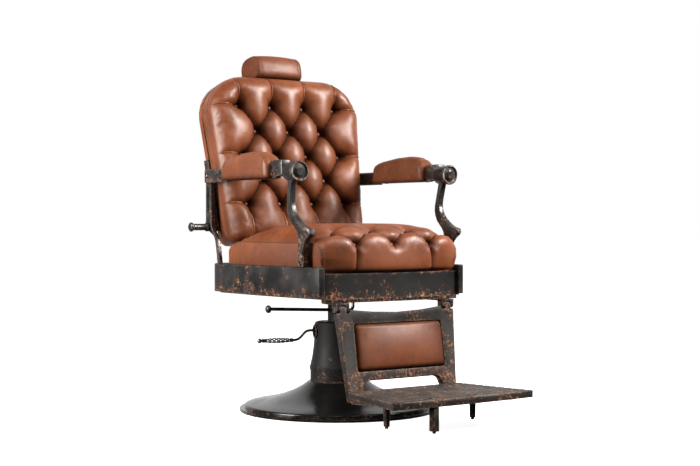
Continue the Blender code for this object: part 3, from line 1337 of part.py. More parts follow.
def calf_pad(axis):
    half_t = FRAME_T / 2
    seat = half_t + SEAT_GAP
    backing = box("calf_backing", (-WINDOW_HALF - BACKING_LAP, seat, WINDOW_FOOT - BACKING_LAP),
                  (WINDOW_HALF + BACKING_LAP, seat + BACKING_T, WINDOW_TOP + BACKING_LAP))
    piece(bevel(backing, 0.002, 1), "plywood", axis)

    half = WINDOW_HALF - CALF_GAP
    low = WINDOW_FOOT + CALF_GAP
    high = WINDOW_TOP - CALF_GAP
    bm = bmesh.new()
    bmesh.ops.create_grid(bm, x_segments=14, y_segments=8, size=1.0)
    for vert in bm.verts:
        x = half * math.copysign(1 - (1 - abs(vert.co.x)) ** 1.25, vert.co.x)
        v = math.copysign(1 - (1 - abs(vert.co.y)) ** 1.25, vert.co.y)
        z = low + (high - low) * (v + 1) / 2
        edge = quarter_round(half - abs(x), 0.012) * quarter_round(min(z - low, high - z), 0.012)
        crown = (1 - (x / half) ** 2) * (1 - v * v)
        shoulder = (CALF_PROUD * 0.5 + FRAME_T * 0.25) * edge
        vert.co = (x, half_t - FRAME_T * 0.75 - shoulder - CALF_PROUD * 0.5 * crown, z)
    grown = bmesh.ops.extrude_edge_only(bm, edges=[e for e in bm.edges if e.is_boundary])["geom"]
    for vert in (g for g in grown if isinstance(g, bmesh.types.BMVert)):
        vert.co.y = half_t
    bmesh.ops.edgeloop_fill(bm, edges=[e for e in bm.edges if e.is_boundary])
    bmesh.ops.triangulate(bm, faces=[f for f in bm.faces if len(f.verts) > 4])
    piece(from_bmesh("calf_pad", bm), "cognac_leather", axis)


def footplate(axis):
    """A ribbed cast tread: a rippled section across the chair, trimmed to a flared plan."""
    rear = HINGE_Y - math.tan(FOOT_LEAN) * (HINGE_Z - PLATE_TOP + PLATE_H / 2)
    rear -= FRAME_T / 2 / math.cos(FOOT_LEAN)
    rear -= math.tan(FOOT_LEAN) * PLATE_H / 2 + SEAT_GAP + 0.0003
    low = PLATE_TOP - PLATE_H
    span = rear - PLATE_FRONT_Y + PLATE_BOW
    pitch = span / PLATE_RIBS
    section = [(rear, low), (rear, PLATE_TOP)]
    for k in range(PLATE_RIBS):
        y = rear - k * pitch
        section += [(y - 0.62 * pitch, PLATE_TOP), (y - 0.70 * pitch, PLATE_TOP - PLATE_RIB_H)]
        section += [(y - 0.92 * pitch, PLATE_TOP - PLATE_RIB_H), (y - pitch, PLATE_TOP)]
    section += [(rear - span, low)]
    tread = prism("footplate", section, -PLATE_HALF_FRONT, PLATE_HALF_FRONT, "YZ")
    front = []
    for i in range(13):
        x = PLATE_HALF_FRONT * (2 * i / 12 - 1)
        front.append((x, PLATE_FRONT_Y - PLATE_BOW * (1 - (x / PLATE_HALF_FRONT) ** 2) + 0.0005))
    plan = front + [(PLATE_HALF_REAR, rear - 0.0003), (-PLATE_HALF_REAR, rear - 0.0003)]
    boolean(tread, prism("tread_plan", plan, 0.0, 0.2, "XY"), "INTERSECT")
    for x in (-0.110, 0.045):
        half = PLATE_SLOT_L / 2 - PLATE_SLOT_W / 2
        y = PLATE_FRONT_Y + 0.028
        slot = arc((x + half, y), PLATE_SLOT_W / 2, -90, 90, 6) + arc((x - half, y), PLATE_SLOT_W / 2, 90,
                                                                      270, 6)
        boolean(tread, prism("tread_slot", slot, 0.0, 0.2, "XY"), "DIFFERENCE")
    tread = as_mesh(tread)
    in_frame(tread, axis)
    piece(tread, "worn_iron", axis)


def in_frame(obj, axis):
    """Move a mesh modelled in the world into an axis's own frame, so that it stays in place."""
    bpy.context.view_layer.update()
    obj.data.transform(axis.matrix_world.inverted())


def foot_pegs(axis):
    top = PLATE_TOP - PLATE_H - SEAT_GAP
    flare = bezier(((PEG_FLARE_R, top - 0.004), (PEG_R + 0.002, top - 0.008), (PEG_R, top - 0.014),
                    (PEG_R, top - 0.024)), 4)
    profile = [(0, top), (PEG_FLARE_R, top)] + flare
    profile += [(PEG_R * 0.92, PEG_FOOT_Z + PEG_TIP_L), (PEG_TIP_R, PEG_FOOT_Z + PEG_TIP_L),
                (PEG_TIP_R, PEG_FOOT_Z), (0, PEG_FOOT_Z)]
    for label, side in SIDES.items():
        peg = turned(label + "_foot_peg", profile, 12,
                     matrix=Matrix.Translation((side * (PEG_X - 0.006), PEG_Y, 0)))
        in_frame(peg, axis)
        piece(peg, "worn_iron", axis)
    y = PLATE_FRONT_Y + FRONT_PEG_W / 2 - 0.004
    half = FRONT_PEG_W / 2
    peg = box("front_foot_peg", (FRONT_PEG_X - half, y - half, PEG_FOOT_Z + PEG_TIP_L),
              (FRONT_PEG_X + half, y + half, top))
    bevel(peg, 0.002, 1)
    boolean(peg, cylinder("peg_tip", PEG_TIP_R, (FRONT_PEG_X, y, PEG_FOOT_Z), 0.02, "Z", 12), "UNION")
    peg = as_mesh(peg)
    in_frame(peg, axis)
    piece(peg, "worn_iron", axis)


base_casting()
hydraulic_cylinder()
pump_sleeve()
handle_eyelet()
pump_clevis()
pump_handle()
ram_and_bearing()
seat_ring()
front_apron()
seat_spider()
seat_board()
seat_cushion()
swivel_lever()
for side_name, side_sign in SIDES.items():
    arm_support(side_name, side_sign)
    hub_cap(side_name, side_sign)
    arm_bar(side_name, side_sign)
    arm_pad(side_name, side_sign)
    rear_post(side_name, side_sign)
    footrest_bracket(side_name, side_sign)
pivot_bolt()
recline_handle()
back_axis = pivot("back_axis", (0, PIVOT_Y, PIVOT_Z), -RAKE)
back_board(back_axis)
back_cushion(back_axis)
for side_name, side_sign in SIDES.items():
    back_iron(side_name, side_sign, back_axis)
headrest(back_axis)
footrest_axis = pivot("footrest_axis", (0, HINGE_Y, HINGE_Z), -FOOT_LEAN)
footrest_frame(footrest_axis)
calf_pad(footrest_axis)
footplate(footrest_axis)
foot_pegs(footrest_axis)

bpy.context.view_layer.update()
triangles = 0
for obj in PARTS.objects:
    if obj.type == "MESH":
        shape = obj.evaluated_get(bpy.context.evaluated_depsgraph_get()).to_mesh()
        shape.calc_loop_triangles()
        triangles += len(shape.loop_triangles)
        print(obj.name, len(shape.loop_triangles))
print("triangles", triangles)
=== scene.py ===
# %% [markdown]
# # An old barber chair, dressed for its portrait
# The solids of the chair come first: every casting, rod and board is already in its place, grouped into
# the bodies that move. We load them as a fixed frame and only add what a machinist's model leaves out:
# leather, stuffing, buttons, seams, paint, rust and light. Nothing here moves a solid.

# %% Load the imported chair
import json
import math

import bmesh
import bpy
import numpy as np
from mathutils import Matrix, Vector
from mathutils.bvhtree import BVHTree

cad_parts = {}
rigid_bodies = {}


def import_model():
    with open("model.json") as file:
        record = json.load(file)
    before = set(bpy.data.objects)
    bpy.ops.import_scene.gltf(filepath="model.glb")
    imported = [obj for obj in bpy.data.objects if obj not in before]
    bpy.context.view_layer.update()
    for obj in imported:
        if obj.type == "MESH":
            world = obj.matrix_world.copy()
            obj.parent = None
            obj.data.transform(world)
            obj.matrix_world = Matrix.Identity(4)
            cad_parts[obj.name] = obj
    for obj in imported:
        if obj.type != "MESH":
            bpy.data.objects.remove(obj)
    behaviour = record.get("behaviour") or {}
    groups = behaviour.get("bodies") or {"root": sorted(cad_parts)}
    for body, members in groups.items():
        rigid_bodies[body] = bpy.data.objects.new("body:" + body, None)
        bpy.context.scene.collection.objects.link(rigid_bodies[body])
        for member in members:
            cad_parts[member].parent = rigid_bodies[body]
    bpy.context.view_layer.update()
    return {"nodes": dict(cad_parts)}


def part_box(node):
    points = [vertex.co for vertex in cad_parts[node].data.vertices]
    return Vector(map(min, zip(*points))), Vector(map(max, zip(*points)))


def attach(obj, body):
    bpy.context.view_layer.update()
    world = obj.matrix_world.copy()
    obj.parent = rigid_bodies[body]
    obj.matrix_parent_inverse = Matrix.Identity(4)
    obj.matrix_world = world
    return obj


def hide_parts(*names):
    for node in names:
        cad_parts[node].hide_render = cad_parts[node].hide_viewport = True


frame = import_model()
for thing in list(bpy.data.objects):
    if thing.name in ("Cube", "Light", "Camera"):
        bpy.data.objects.remove(thing)

# %% [markdown]
# ## The camera
# The base is a circle 610 mm across, and the two arms are a mirrored pair, so the picture fixes where the
# camera stood: low, a little over four metres away, round towards the sitter's right. A long lens keeps the
# verticals nearly parallel. Writing the matrix out by hand from three directions is clearer than aiming the
# camera with a constraint, and leaves no rig behind.

# %% Set up the camera
picture_width = 700
focal_pixels = 1385.87
distance = 4.2801
eye_height = 0.58032
azimuth = math.radians(-35.0846)
heading = azimuth + math.radians(-0.486)
tilt = math.radians(-0.49569)

eye = Vector((distance * math.sin(azimuth), -distance * math.cos(azimuth), eye_height))
forward = Vector((-math.sin(heading) * math.cos(tilt), math.cos(heading) * math.cos(tilt), math.sin(tilt)))
rightward = Vector((math.cos(heading), math.sin(heading), 0.0))
upward = rightward.cross(forward)

lens = bpy.data.cameras.new("portrait_lens")
lens.sensor_width = 36.0
lens.lens = focal_pixels * lens.sensor_width / picture_width
lens.clip_end = 60.0
camera = bpy.data.objects.new("portrait_camera", lens)
camera.matrix_world = Matrix((
    (rightward.x, upward.x, -forward.x, eye.x),
    (rightward.y, upward.y, -forward.y, eye.y),
    (rightward.z, upward.z, -forward.z, eye.z),
    (0.0, 0.0, 0.0, 1.0)))
bpy.context.scene.collection.objects.link(camera)
bpy.context.scene.camera = camera
print("camera at", [round(c, 3) for c in eye], "lens", round(lens.lens, 2), "mm")

# %% [markdown]
# ## The floor
# The chair stands on a pale studio floor, which carries a faint shadow. The floor could be a large lit sheet, but a
# sheet that big throws its glow up under every casting. So it glows for the lens and is left out of reflections.

# %% Lay the floor
bpy.context.scene.view_settings.view_transform = "Standard"
floor_width, floor_drop = 60.0, 0.0005


def paper(name, colour, glow):
    sheet = bpy.data.materials.new(name)
    sheet.use_nodes = True
    shader = sheet.node_tree.nodes["Principled BSDF"]
    shader.inputs["Base Color"].default_value = (*colour, 1.0)
    shader.inputs["Roughness"].default_value = 0.9
    shader.inputs["Specular IOR Level"].default_value = 0.1
    shader.inputs["Emission Color"].default_value = (1.0, 1.0, 1.0, 1.0)
    shader.inputs["Emission Strength"].default_value = glow
    return sheet


bpy.ops.mesh.primitive_plane_add(size=floor_width, location=(0, 0, -floor_drop))
floor = bpy.context.object
floor.name = "studio_floor"
floor.data.materials.append(paper("pale_paper", (0.90, 0.90, 0.90), 0.88))
floor.visible_diffuse = False
floor.visible_glossy = False
print("floor:", floor.name, floor_width, "m wide")

# %% [markdown]
# ## The backdrop
# White paper hangs behind the chair and draws the thin bright rims on the black iron. A plain white world would do
# that from all sides and turn the paint grey. So the world is white in one direction and dim in the other, and the
# lens, which should see paper everywhere, always gets white.

# %% Hang the backdrop
towards_paper = (0.57, 0.82, 0.0)
paper_starts, paper_full = 0.40, 0.90
dim_side, white_side = 0.05, 0.95
world = bpy.data.worlds.new("white_studio")
bpy.context.scene.world = world
world.use_nodes = True
air = world.node_tree
backdrop = air.nodes["Background"]
backdrop.inputs["Strength"].default_value = 1.0
way = air.nodes.new("ShaderNodeTexCoord")
behind = air.nodes.new("ShaderNodeVectorMath")
behind.operation = "DOT_PRODUCT"
behind.inputs[1].default_value = towards_paper
air.links.new(way.outputs["Generated"], behind.inputs[0])
room = air.nodes.new("ShaderNodeMapRange")
room.inputs["From Min"].default_value = paper_starts
room.inputs["From Max"].default_value = paper_full
room.inputs["To Min"].default_value = dim_side
room.inputs["To Max"].default_value = white_side
air.links.new(behind.outputs["Value"], room.inputs["Value"])
seen = air.nodes.new("ShaderNodeLightPath")
shade = air.nodes.new("ShaderNodeMix")
shade.inputs["B"].default_value = 1.0
air.links.new(seen.outputs["Is Camera Ray"], shade.inputs["Factor"])
air.links.new(room.outputs["Result"], shade.inputs["A"])
air.links.new(shade.outputs["Result"], backdrop.inputs["Color"])
print("backdrop:", world.name, "white towards", towards_paper)

# %% [markdown]
# ## Soft boxes
# A photographer would light this chair with a few soft boxes. Point lamps would leave small hard sparkles on the
# leather. An area lamp has a size, and the size sets how soft the shine is. The main box stands high in front on the
# right and shapes the tufts. A tall one on the left slides a long shine down the base and the side of the seat, and a
# weak one above lifts the tops of the pads.

# %% Set up the soft boxes
warm_white = (1.0, 0.95, 0.90)


def soft_box(name, place, target, size, power):
    lamp = bpy.data.lights.new(name, "AREA")
    lamp.shape = "RECTANGLE"
    lamp.size, lamp.size_y = size
    lamp.energy = power
    lamp.color = warm_white
    holder = bpy.data.objects.new(name, lamp)
    holder.location = place
    holder.rotation_euler = (Vector(target) - Vector(place)).to_track_quat("-Z", "Y").to_euler()
    bpy.context.scene.collection.objects.link(holder)


soft_box("box_above", place=(-0.5, -1.5, 2.6), target=(0, -0.2, 0.5), size=(1.0, 0.8), power=24)
soft_box("box_left", place=(-2.7, 0.45, 1.2), target=(0, 0, 0.6), size=(1.0, 2.0), power=128)
soft_box("box_right", place=(1.9, -2.1, 2.35), target=(0, 0, 0.8), size=(0.8, 1.2), power=215)

# %% [markdown]
# ## A short hand for finishes
# Each finish is a small tree of shader nodes. It could be wired up in the node editor, but a script shows every
# number. To keep the trees readable we write one helper that makes a node, sets or links its inputs, and hands back
# the socket we want. Grain and rust use the object's own coordinates, in metres, so that they keep their true size
# and travel with a piece when it moves.

# %% Start a finish
def start_finish(name, roughness, metallic=0.0, **fixed):
    made = bpy.data.materials.new(name)
    made.use_nodes = True
    shader = made.node_tree.nodes["Principled BSDF"]
    shader.inputs["Roughness"].default_value = roughness
    shader.inputs["Metallic"].default_value = metallic
    for socket, value in fixed.items():
        shader.inputs[socket.replace("_", " ")].default_value = value
    place = made.node_tree.nodes.new("ShaderNodeTexCoord").outputs["Object"]
    return made, made.node_tree, shader, place


def step(tree, kind, inputs, result=0, **settings):
    made = tree.nodes.new(kind)
    for key, value in settings.items():
        setattr(made, key, value)
    for key, value in inputs.items():
        if isinstance(value, bpy.types.NodeSocket):
            tree.links.new(value, made.inputs[key])
        else:
            made.inputs[key].default_value = value
    return made.outputs[result]


print("finish helpers ready:", start_finish.__name__, "and", step.__name__)

# %% [markdown]
# ## Words for the common steps
# Most trees use the same few steps: noise, a soft threshold, a product, a sum, a mix of two colours and a bump.
# Each could be set up by hand every time. A one-line function for each lets a finish be read almost like a recipe.

# %% Name the common steps
def noise(tree, place, scale, detail=4.0, roughness=0.55):
    return step(tree, "ShaderNodeTexNoise",
                {"Vector": place, "Scale": scale, "Detail": detail, "Roughness": roughness})


def between(tree, value, low, high, bottom=0.0, top=1.0):
    return step(tree, "ShaderNodeMapRange", {"Value": value, "From Min": low, "From Max": high,
                                             "To Min": bottom, "To Max": top}, interpolation_type="SMOOTHSTEP")


def times(tree, a, b):
    return step(tree, "ShaderNodeMath", {0: a, 1: b}, operation="MULTIPLY")


def plus(tree, a, b):
    return step(tree, "ShaderNodeMath", {0: a, 1: b}, operation="ADD", use_clamp=True)


def tint(tree, share, first, second):
    def rgba(value):
        return value if isinstance(value, bpy.types.NodeSocket) else (*value, 1.0)
    return step(tree, "ShaderNodeMix", {0: share, 6: rgba(first), 7: rgba(second)}, result=2,
                data_type="RGBA", clamp_factor=True)


def relief(tree, height, depth, strength, under=None):
    inputs = {"Height": height, "Distance": depth, "Strength": strength}
    if under is not None:
        inputs["Normal"] = under
    return step(tree, "ShaderNodeBump", inputs)


print("steps:", [f.__name__ for f in (noise, between, times, plus, tint, relief)])

# %% [markdown]
# ## Old black paint over rusting iron
# The castings were painted black and have been rubbed for a century: the paint is charcoal, cloudy with dust,
# it has gone from the edges, and rust has come through in copper-coloured specks that crowd together near
# rims and joints and towards the foot of each casting. A painted texture could show that, but it would have to be
# made anew for each piece. Here an edge is found by comparing the true normal with one rounded over a few
# millimetres: where they part, the surface bends. Noise then breaks that band up, because wear is never a neat line.

# %% Make the iron finish
rust_brown, rust_copper, bare_iron = (0.085, 0.040, 0.024), (0.34, 0.155, 0.085), (0.30, 0.27, 0.245)
worn_band, rusty_band = 0.006, 0.016
cloud_scale, patch_scale, scuff_scale, rust_scale, fleck_scale = 13.0, 24.0, 70.0, 90.0, 135.0
fleck_height, pit_depth = 0.0006, 0.0006


def edge_wear(tree, radius):
    rounded = step(tree, "ShaderNodeBevel", {"Radius": radius}, samples=6)
    true_normal = step(tree, "ShaderNodeNewGeometry", {}, result="Normal")
    facing = step(tree, "ShaderNodeVectorMath", {0: rounded, 1: true_normal}, result="Value",
                  operation="DOT_PRODUCT")
    return between(tree, facing, 0.995, 0.86)


def painted_iron(name, paint, cloud, roughness, rust, rub, shine=0.22, damp=0.21):
    """Black paint: rust is how much shows, rub how bare the edges are, damp how far rust climbs from the foot."""
    made, tree, shader, place = start_finish(name, roughness, Specular_IOR_Level=shine)
    box_place = step(tree, "ShaderNodeTexCoord", {}, result="Generated")
    clouds = noise(tree, place, cloud_scale, 6.0, 0.62)
    colour = tint(tree, between(tree, clouds, 0.35, 0.72), paint, cloud)
    edges = edge_wear(tree, worn_band)
    near_edges = edge_wear(tree, rusty_band)
    height = step(tree, "ShaderNodeSeparateXYZ", {"Vector": box_place}, result="Z")
    foot = between(tree, height, 0.55, 0.0, 0.0, damp * rust)
    patches = plus(tree, noise(tree, place, patch_scale, 5.0, 0.65), foot)
    patches = plus(tree, patches, times(tree, near_edges, 0.12))
    flecks = noise(tree, place, fleck_scale, 4.0, 0.72)
    crowd = between(tree, patches, 0.64 - 0.12 * rust, 0.76 - 0.12 * rust)
    fleck_share = times(tree, between(tree, flecks, 0.52 - 0.02 * rust, 0.57 - 0.02 * rust), crowd)
    brown = tint(tree, between(tree, noise(tree, place, rust_scale, 3.0), 0.35, 0.65), rust_brown, rust_copper)
    colour = tint(tree, fleck_share, colour, brown)
    scuffs = noise(tree, place, scuff_scale, 6.0, 0.75)
    bare = times(tree, times(tree, edges, between(tree, scuffs, 0.44, 0.60)), rub)
    colour = tint(tree, bare, colour, bare_iron)
    tree.links.new(colour, shader.inputs["Base Color"])
    gloss = between(tree, clouds, 0.3, 0.75, roughness - 0.06, roughness + 0.12)
    tree.links.new(plus(tree, gloss, times(tree, fleck_share, 0.3)), shader.inputs["Roughness"])
    tree.links.new(times(tree, bare, 0.8), shader.inputs["Metallic"])
    pits = relief(tree, scuffs, pit_depth, 0.35)
    tree.links.new(relief(tree, fleck_share, fleck_height, 0.5, pits), shader.inputs["Normal"])
    return made


print("iron finish ready, worn band", worn_band, "m")

# %% [markdown]
# ## Paint for each casting
# One recipe serves all the castings, but they have not aged alike. Hands have polished the arms, shoes have scraped
# the footrest down to rust, and the base still has a deep shine. The apron's mix is a darker, duller copy of the
# ring's that paints in the shade the apron stands in. Seven mixes of the same recipe show that better than one paint
# with painted masks, and each stays a single line to change.

# %% Paint for each casting
black, dusty_black, handled_black = (0.0105, 0.0102, 0.0106), (0.036, 0.034, 0.034), (0.030, 0.028, 0.028)
scraped, scraped_dust = (0.0145, 0.013, 0.0125), (0.036, 0.032, 0.030)
ring_iron = painted_iron("rubbed_black_paint", black, dusty_black, roughness=0.42, rust=0.80, rub=0.55, shine=0.28)
# painted shade: the apron's paint is a darker copy of the ring's
apron_shaded_iron = painted_iron("shaded_black_paint", (0.0065, 0.0062, 0.0064), (0.013, 0.0122, 0.0122),
                          roughness=0.50, rust=0.80, rub=0.55, shine=0.12)
foot_iron = painted_iron("scraped_black_paint", scraped, scraped_dust, roughness=0.50, rust=1.0, rub=0.8)
plate_iron = painted_iron("trodden_black_paint", scraped, scraped_dust, roughness=0.50, rust=1.0, rub=0.8, damp=0.07)
arm_iron = painted_iron("handled_black_paint", black, handled_black, roughness=0.30, rust=0.75, rub=0.95, shine=0.60)
column_iron = painted_iron("column_black_paint", (0.010, 0.0098, 0.0105), (0.017, 0.0165, 0.0175),
                           roughness=0.50, rust=0.25, rub=0.3, shine=0.18)
dome_iron = painted_iron("polished_black_paint", (0.008, 0.0075, 0.0075), (0.011, 0.0105, 0.0100),
                         roughness=0.17, rust=0.05, rub=0.25, shine=0.40)
iron_finishes = (ring_iron, apron_shaded_iron, foot_iron, plate_iron, arm_iron, column_iron, dome_iron)
print("iron finishes:", [m.name for m in iron_finishes])

# %% [markdown]
# ## Bare steel, bronze, leather washer and boards
# Levers, bolts and bars are bare steel that hands and oil have kept half bright: fine scratches run through
# darker stains. The gland is bronze, the piston cup is oiled leather, the boards are plain wood with a grain.
# A brushed-metal shader could streak the shine, but it needs a direction on every face. Noise stretched along one
# direction gives both the scratches and the grain, so two small helpers are enough.

# %% Make the small finishes
def rubbed_metal(name, bright, stain, roughness):
    made, tree, shader, place = start_finish(name, roughness, 1.0)
    stains = noise(tree, place, 38.0, 6.0, 0.7)
    drawn_out = step(tree, "ShaderNodeMapping", {"Vector": place, "Scale": (25.0, 900.0, 900.0)})
    scratches = noise(tree, drawn_out, 1.0, 3.0)
    share = plus(tree, between(tree, stains, 0.42, 0.62), times(tree, between(tree, scratches, 0.55, 0.7), 0.35))
    tree.links.new(tint(tree, share, bright, stain), shader.inputs["Base Color"])
    tree.links.new(between(tree, share, 0.0, 1.0, roughness - 0.06, roughness + 0.22), shader.inputs["Roughness"])
    tree.links.new(relief(tree, scratches, 0.0002, 0.3), shader.inputs["Normal"])
    return made


def plain_board(name, pale, dark):
    made, tree, shader, place = start_finish(name, 0.7)
    along = step(tree, "ShaderNodeMapping", {"Vector": place, "Scale": (3.0, 60.0, 60.0)})
    grain = noise(tree, along, 3.0, 6.0, 0.7)
    tree.links.new(tint(tree, between(tree, grain, 0.35, 0.65), pale, dark), shader.inputs["Base Color"])
    tree.links.new(relief(tree, grain, 0.0004, 0.4), shader.inputs["Normal"])
    return made


steel = rubbed_metal("rubbed_steel", (0.46, 0.42, 0.385), (0.10, 0.085, 0.075), 0.34)
dark_steel = rubbed_metal("dark_steel", (0.16, 0.15, 0.145), (0.035, 0.032, 0.031), 0.36)
bronze = rubbed_metal("gland_bronze", (0.50, 0.34, 0.15), (0.20, 0.12, 0.05), 0.36)
cup_leather = plain_board("oiled_cup_leather", (0.05, 0.032, 0.022), (0.028, 0.018, 0.012))
board_wood = plain_board("seat_board_wood", (0.17, 0.105, 0.060), (0.085, 0.050, 0.028))
print("small finishes:", [m.name for m in (steel, dark_steel, bronze, cup_leather, board_wood)])

# %% [markdown]
# ## Cognac leather
# The cover is a waxed aniline hide. Three things make it read as leather rather than plastic: a pebbled grain
# about a millimetre across, a cloudy dye that is lighter where bodies have rubbed it, and a soft broad shine. Over
# the dye goes painted shade: nearly black in the creases and round the buttons, where some wax and dust have settled
# too, browner in the hollows, and darker in other places where shade falls. A shader could guess the creases from
# the bend of the mesh, but they are known exactly when a cushion is built. So each cushion carries a number per
# point for this shade, and the finish grows darker and duller by it.

# %% Make the leather
# the dark brown that the shade number mixes in: painted shade, with some settled wax
wax_and_shade_brown = (0.016, 0.0050, 0.0026)
dye_scale, mottle_scale, crease_scale, pebble_scale = 9.0, 46.0, 160.0, 620.0
pebble_height, crease_depth = 0.00025, 0.0006


def hide(name, dye, pale, deep, roughness=0.37):
    made, tree, shader, place = start_finish(name, roughness, Coat_Roughness=0.30)
    clouds = noise(tree, place, dye_scale, 5.0, 0.6)
    mottle = noise(tree, place, mottle_scale, 5.0, 0.65)
    colour = tint(tree, between(tree, clouds, 0.34, 0.68), dye, pale)
    colour = tint(tree, times(tree, between(tree, mottle, 0.45, 0.75), 0.45), colour, deep)
    wax_and_shade = step(tree, "ShaderNodeAttribute", {}, result="Fac", attribute_name="wax_and_shade")
    # painted shade: the number per point darkens the dye towards the dark brown
    colour = tint(tree, wax_and_shade, colour, wax_and_shade_brown)
    tree.links.new(colour, shader.inputs["Base Color"])
    gloss = between(tree, mottle, 0.3, 0.7, roughness - 0.05, roughness + 0.10)
    tree.links.new(plus(tree, gloss, times(tree, wax_and_shade, 0.25)), shader.inputs["Roughness"])
    tree.links.new(between(tree, wax_and_shade, 0.0, 0.8, 0.5, 0.03), shader.inputs["Specular IOR Level"])
    tree.links.new(between(tree, wax_and_shade, 0.0, 0.6, 0.15, 0.0), shader.inputs["Coat Weight"])
    pebbles = step(tree, "ShaderNodeTexVoronoi", {"Vector": place, "Scale": pebble_scale}, result="Distance",
                   feature="DISTANCE_TO_EDGE")
    creases = noise(tree, place, crease_scale, 6.0, 0.7)
    grain = relief(tree, between(tree, pebbles, 0.0, 0.22), pebble_height, 0.35)
    tree.links.new(relief(tree, creases, crease_depth, 0.22, grain), shader.inputs["Normal"])
    return made


cognac_dye = (0.180, 0.048, 0.0155), (0.255, 0.076, 0.026), (0.072, 0.018, 0.0068)
seam_dye = (0.105, 0.031, 0.014), (0.140, 0.043, 0.019), (0.060, 0.017, 0.008)
cognac = hide("cognac_hide", *cognac_dye)
worn_cognac = hide("sat_on_hide", *cognac_dye, roughness=0.42)
matt_cognac = hide("rubbed_matt_hide", *cognac_dye, roughness=0.50)
dark_cognac = hide("seam_hide", *seam_dye, roughness=0.56)
print("leathers:", [m.name for m in (cognac, worn_cognac, matt_cognac, dark_cognac)])

# %% [markdown]
# ## Paint the solids
# Each solid keeps its own shape and gets the finish of the real piece. The solids come in as flat facets with
# hard edges. Modifiers leave the meshes alone, so three of them finish the look: a weld joins the facets, a small
# geometry tree smooths the shading wherever two facets meet at a gentle angle, and a narrow bevel catches light
# along the sharp edges, as any handled casting does.

# %% Smooth and round the solids
def soft_shading(angle):
    tree = bpy.data.node_groups.new("soft_shading", "GeometryNodeTree")
    tree.interface.new_socket("Geometry", in_out="INPUT", socket_type="NodeSocketGeometry")
    tree.interface.new_socket("Geometry", in_out="OUTPUT", socket_type="NodeSocketGeometry")
    shape = tree.nodes.new("NodeGroupInput").outputs[0]
    bend = step(tree, "GeometryNodeInputMeshEdgeAngle", {})
    sharp = step(tree, "FunctionNodeCompare", {0: bend, 1: angle}, operation="GREATER_THAN")
    shape = step(tree, "GeometryNodeSetShadeSmooth", {"Geometry": shape, "Shade Smooth": True}, domain="FACE")
    shape = step(tree, "GeometryNodeSetShadeSmooth", {"Geometry": shape, "Selection": sharp, "Shade Smooth": False},
                 domain="EDGE")
    tree.links.new(shape, tree.nodes.new("NodeGroupOutput").inputs[0])
    return tree


gentle = soft_shading(math.radians(32))
crisp = soft_shading(math.radians(20))


def dress(node_names, finish, rounding=0.0, shading=gentle):
    for name in node_names:
        solid = frame["nodes"][name]
        if not solid.material_slots:
            solid.data.materials.append(finish)
        for slot in solid.material_slots:
            slot.link = "OBJECT"
            slot.material = finish
        weld = solid.modifiers.new("join_facets", "WELD")
        weld.merge_threshold = 0.00002
        if rounding:
            rim = solid.modifiers.new("worn_edges", "BEVEL")
            rim.width = rounding
            rim.segments = 2
            rim.limit_method = "ANGLE"
            rim.angle_limit = math.radians(38)
            rim.use_clamp_overlap = True
        smooth = solid.modifiers.new("soft_shading", "NODES")
        smooth.node_group = shading


print("shading trees:", gentle.name, "and", crisp.name)

# %% [markdown]
# ## A finish for every solid
# The list below goes by finish, because pieces that were painted or handled alike look alike. The edge of a casting
# is rounder than that of a small part, so it gets a wider bevel. The base, the column and the bare steel keep the
# edges of their solids.

# %% Dress the castings
casting_edge, plate_edge, small_edge, cap_edge = 0.0016, 0.0009, 0.0006, 0.0005


def both(*names):
    return [side + "_" + name for name in names for side in ("right", "left")]


dress(["base_casting"], dome_iron)
dress(["pump_sleeve", "cylinder_foot", "handle_eyelet", "pump_clevis", "ram"], column_iron)
dress(["seat_ring", "seat_spider", "lever_socket"], ring_iron, casting_edge)
dress(["front_apron"], apron_shaded_iron, casting_edge)
dress(both("arm_support", "arm_bar", "rear_post", "back_iron"), arm_iron, casting_edge)
dress(both("hub_cap"), arm_iron, cap_edge, crisp)
dress(["lever_knob", "recline_handle", "headrest_guide"], arm_iron, small_edge)
dress(["footrest_frame"] + both("footrest_bracket", "foot_peg") + ["front_foot_peg"], foot_iron, casting_edge)
dress(["footplate"], plate_iron, plate_edge)
dress(["pump_rod", "pump_grip", "pump_ball", "pump_pin", "left_pivot_bolt"] + both("toe_bolt", "footrest_pin"), steel)
dress(["swivel_lever", "hydraulic_cylinder", "headrest_bar", "headrest_thumbscrew"] + both("arm_screw"), dark_steel)
dress(["gland_ring", "thrust_washer"], bronze)
dress(["piston_cup"], cup_leather)
dress(["seat_board", "calf_backing"], board_wood)
dress(["back_board"], cognac)
print("dressed solids:", sum(1 for o in frame["nodes"].values() if o.modifiers))

# %% [markdown]
# ## Working out a buttoned surface
# Deep buttoning pulls the leather down to the board at each button, and folds the spare leather into a pleat
# from button to button. Between pleats the stuffing swells into a plump diamond. Sculpting that by hand would never
# come out even. But the depth at a point depends only on its distance to the pleats: steep beside a pleat, flat on
# top, like a quarter circle. Arrays give the distances of a whole grid at once.

# %% Measure the way to a pleat
far_away = 1e9
slide_share = 0.9


def quarter_round(share, fullness=0.5):
    t = np.clip(share, 0.0, 1.0)
    return (1.0 - (1.0 - t) ** 2) ** fullness


def to_segment(x, y, a, b):
    run = (b[0] - a[0], b[1] - a[1])
    length = run[0] ** 2 + run[1] ** 2
    t = np.clip(((x - a[0]) * run[0] + (y - a[1]) * run[1]) / length, 0.0, 1.0)
    near_x = a[0] + run[0] * t
    near_y = a[1] + run[1] * t
    return np.hypot(x - near_x, y - near_y), t, near_x, near_y


